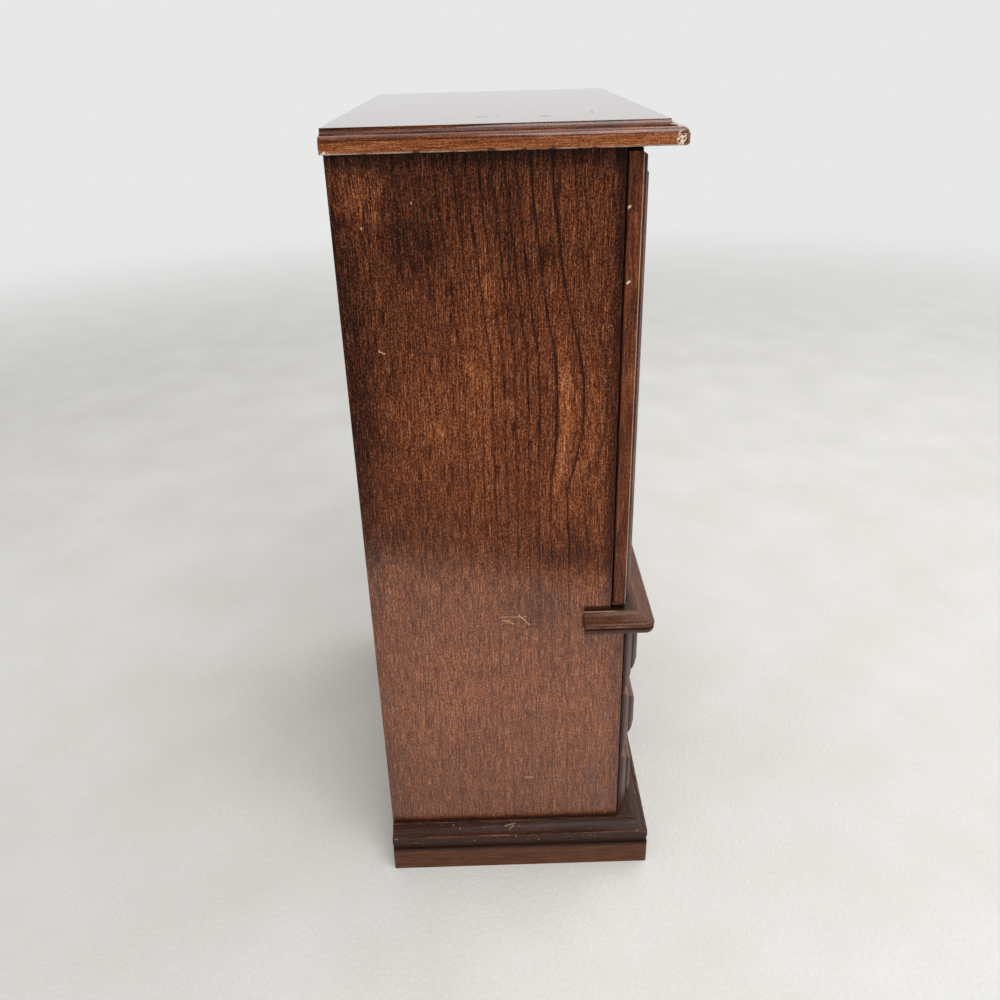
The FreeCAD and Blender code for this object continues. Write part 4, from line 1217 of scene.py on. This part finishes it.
def ring_rolls():
    """Seven velvet rolls side by side: one is swollen by simulation, the others are turned copies of it."""
    low, high = box_mm("top_drawer_ring_rolls")
    pitch = (high.y - low.y) / ROLL_COUNT
    near = (low.x + ROLL_INSET, low.y + ROLL_INSET, low.z)
    far = (high.x - ROLL_INSET, low.y + pitch - ROLL_INSET, high.z - ROLL_INSET)
    shape = loaf("roll", near, far)
    shape = inflate(shape, ROLL_VOXEL, ROLL_INSET)
    fit_between(shape, ((low.x, high.x), (low.y + ROLL_GAP, low.y + pitch - ROLL_GAP), (low.z, high.z)))
    middle_x = (low.x + high.x) / 2 * MM
    middle_y = (low.y + pitch / 2) * MM
    for number in range(ROLL_COUNT):
        copy = shape.copy()
        copy.name = f"ring_roll_{number + 1}"
        flip_x = -1.0 if number in ROLLS_TURNED_END_FOR_END else 1.0
        flip_y = -1.0 if number in ROLLS_TURNED_FRONT_TO_BACK else 1.0
        shrink = 1.0 - 0.012 * ((number * 5) % 4)
        for vertex in copy.vertices:
            x = middle_x + (vertex.co.x - middle_x) * flip_x
            y = middle_y + (vertex.co.y - middle_y) * flip_y + pitch * number * MM
            z = low.z * MM + (vertex.co.z - low.z * MM) * shrink
            vertex.co = (x, y, z)
        if flip_x * flip_y < 0:
            copy.flip_normals()
        made = place_piece(copy.name, copy, "top_drawer", velvet_finish)
        smooth = made.modifiers.new("smooth", "SUBSURF")
        smooth.levels = smooth.render_levels = 1
        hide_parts("top_drawer_ring_rolls")


# Floor, lights and camera

FLOOR_HALF = 4.0
FLOOR_FADE = (900.0, 2200.0)
CLOTH_EDGE = (-450.0, -510.0)
LIGHT_AIM = (0.0, 0.0, 0.2)
SOFTBOX_SIZE = 1.2


def floor():
    """A pale floor that fades into the background; beyond the cloth's edge it isn't mirrored in the side."""
    mesh = bpy.data.meshes.new("floor")
    far = FLOOR_HALF
    mesh.from_pydata([(-far, -far, 0), (far, -far, 0), (far, far, 0), (-far, far, 0)], [], [(0, 1, 2, 3)])
    made = bpy.data.objects.new("floor", mesh)
    bpy.context.scene.collection.objects.link(made)
    finish = Finish("floor_pale")
    place = finish.place()
    pile = finish.noise(place, 0.35, 4.0, 0.65)
    cloud = finish.noise(place, 0.012, 3.0, 0.5)
    tone = finish.number("MULTIPLY_ADD", pile, 0.4, finish.product(cloud, 0.6))
    finish.dressed({
        "Base Color": finish.ramp(tone, ((0.3, (0.70, 0.69, 0.65)), (0.7, (0.80, 0.79, 0.76)))),
        "Roughness": 0.95,
        "Normal": finish.bump(pile, 0.35, 0.002),
    })
    x, y = finish.parts(place)[:2]
    beyond = finish.band(finish.number("MULTIPLY_ADD", y, 0.35, x), *CLOTH_EDGE)
    unseen = finish.product(finish.light_path()["Is Glossy Ray"], beyond)
    fade = finish.number("MAXIMUM", finish.band(finish.vector("LENGTH", place), *FLOOR_FADE), unseen)
    clear = finish.node("ShaderNodeBsdfTransparent", {}).outputs[0]
    finish.show(finish.either(fade, finish.shader.outputs[0], clear))
    mesh.materials.append(finish.material)


def world():
    """Even light from all round, seen as a pale background, with a dim room behind the photographer."""
    made = bpy.data.worlds.new("studio")
    bpy.context.scene.world = made
    made.use_nodes = True
    sky = Tree(made.node_tree)
    lighting = sky.tree.nodes["Background"]
    sky.feed(lighting.inputs["Color"], (1.0, 1.0, 1.0, 1.0))
    sky.feed(lighting.inputs["Strength"], 0.55)
    backdrop = sky.node("ShaderNodeBackground", {"Color": (0.80, 0.81, 0.80, 1.0)}).outputs[0]
    direction = sky.node("ShaderNodeTexCoord", {}).outputs["Generated"]
    room = sky.band(sky.parts(direction)[0], -0.75, 0.1, 0.05, 0.80)
    mirrored = sky.node("ShaderNodeBackground", {"Color": room}).outputs[0]
    path = sky.light_path()
    through = sky.number("MAXIMUM", path["Is Camera Ray"], path["Is Transmission Ray"])
    seen = sky.either(path["Is Glossy Ray"], lighting.outputs[0], mirrored)
    sky.feed(sky.tree.nodes["World Output"].inputs["Surface"], sky.either(through, seen, backdrop))


def softbox(name, at, power):
    lamp = bpy.data.lights.new(name, "AREA")
    lamp.shape = "SQUARE"
    lamp.size = SOFTBOX_SIZE
    lamp.energy = power
    made = bpy.data.objects.new(name, lamp)
    bpy.context.scene.collection.objects.link(made)
    made.location = Vector(at)
    made.rotation_euler = (Vector(LIGHT_AIM) - Vector(at)).to_track_quat("-Z", "Y").to_euler()


def camera():
    data = bpy.data.cameras.new("camera")
    data.sensor_width = CAMERA_SENSOR
    data.lens = CAMERA_LENS
    data.clip_start, data.clip_end = 0.01, 50.0
    made = bpy.data.objects.new("camera", data)
    bpy.context.scene.collection.objects.link(made)
    at, aim = Vector(CAMERA_AT) * MM, Vector(CAMERA_AIM) * MM
    turn = (aim - at).to_track_quat("-Z", "Y").to_matrix() @ Matrix.Rotation(CAMERA_ROLL, 3, "Z")
    made.matrix_world = Matrix.Translation(at) @ turn.to_4x4()
    bpy.context.scene.camera = made


finish_carcass()
finish_doors()
finish_drawers()
finish_fittings()
ease_arrises()
for carrier in ("left_door", "right_door", "top_drawer", "middle_drawer", "bottom_drawer"):
    knob(f"{carrier}_knob", carrier)
knob_screws()
for place, node, body, normal, rim, crown, wave in (
    ("compartment_floor", "compartment_floor_pad", "cabinet", "+Z", 2.2, 0.10, 0.06),
    ("compartment_back", "compartment_back_lining", "cabinet", "-Y", 1.4, 0.08, 0.05),
    ("top_drawer", "top_drawer_lining", "top_drawer", "+Z", 1.2, 0.08, 0.05),
    ("middle_drawer", "middle_drawer_lining", "middle_drawer", "+Z", 1.2, 0.08, 0.05),
    ("bottom_drawer", "bottom_drawer_lining", "bottom_drawer", "+Z", 1.2, 0.08, 0.05),
):
    velvet_pad(f"{place}_velvet", node, body, normal, rim, crown, wave)
ring_rolls()
floor()
world()
softbox("key", at=(-0.9, -0.35, 1.5), power=16.0)
softbox("fill", at=(0.5, -0.9, 1.3), power=7.0)
camera()
bpy.context.scene.view_settings.view_transform = "Standard"
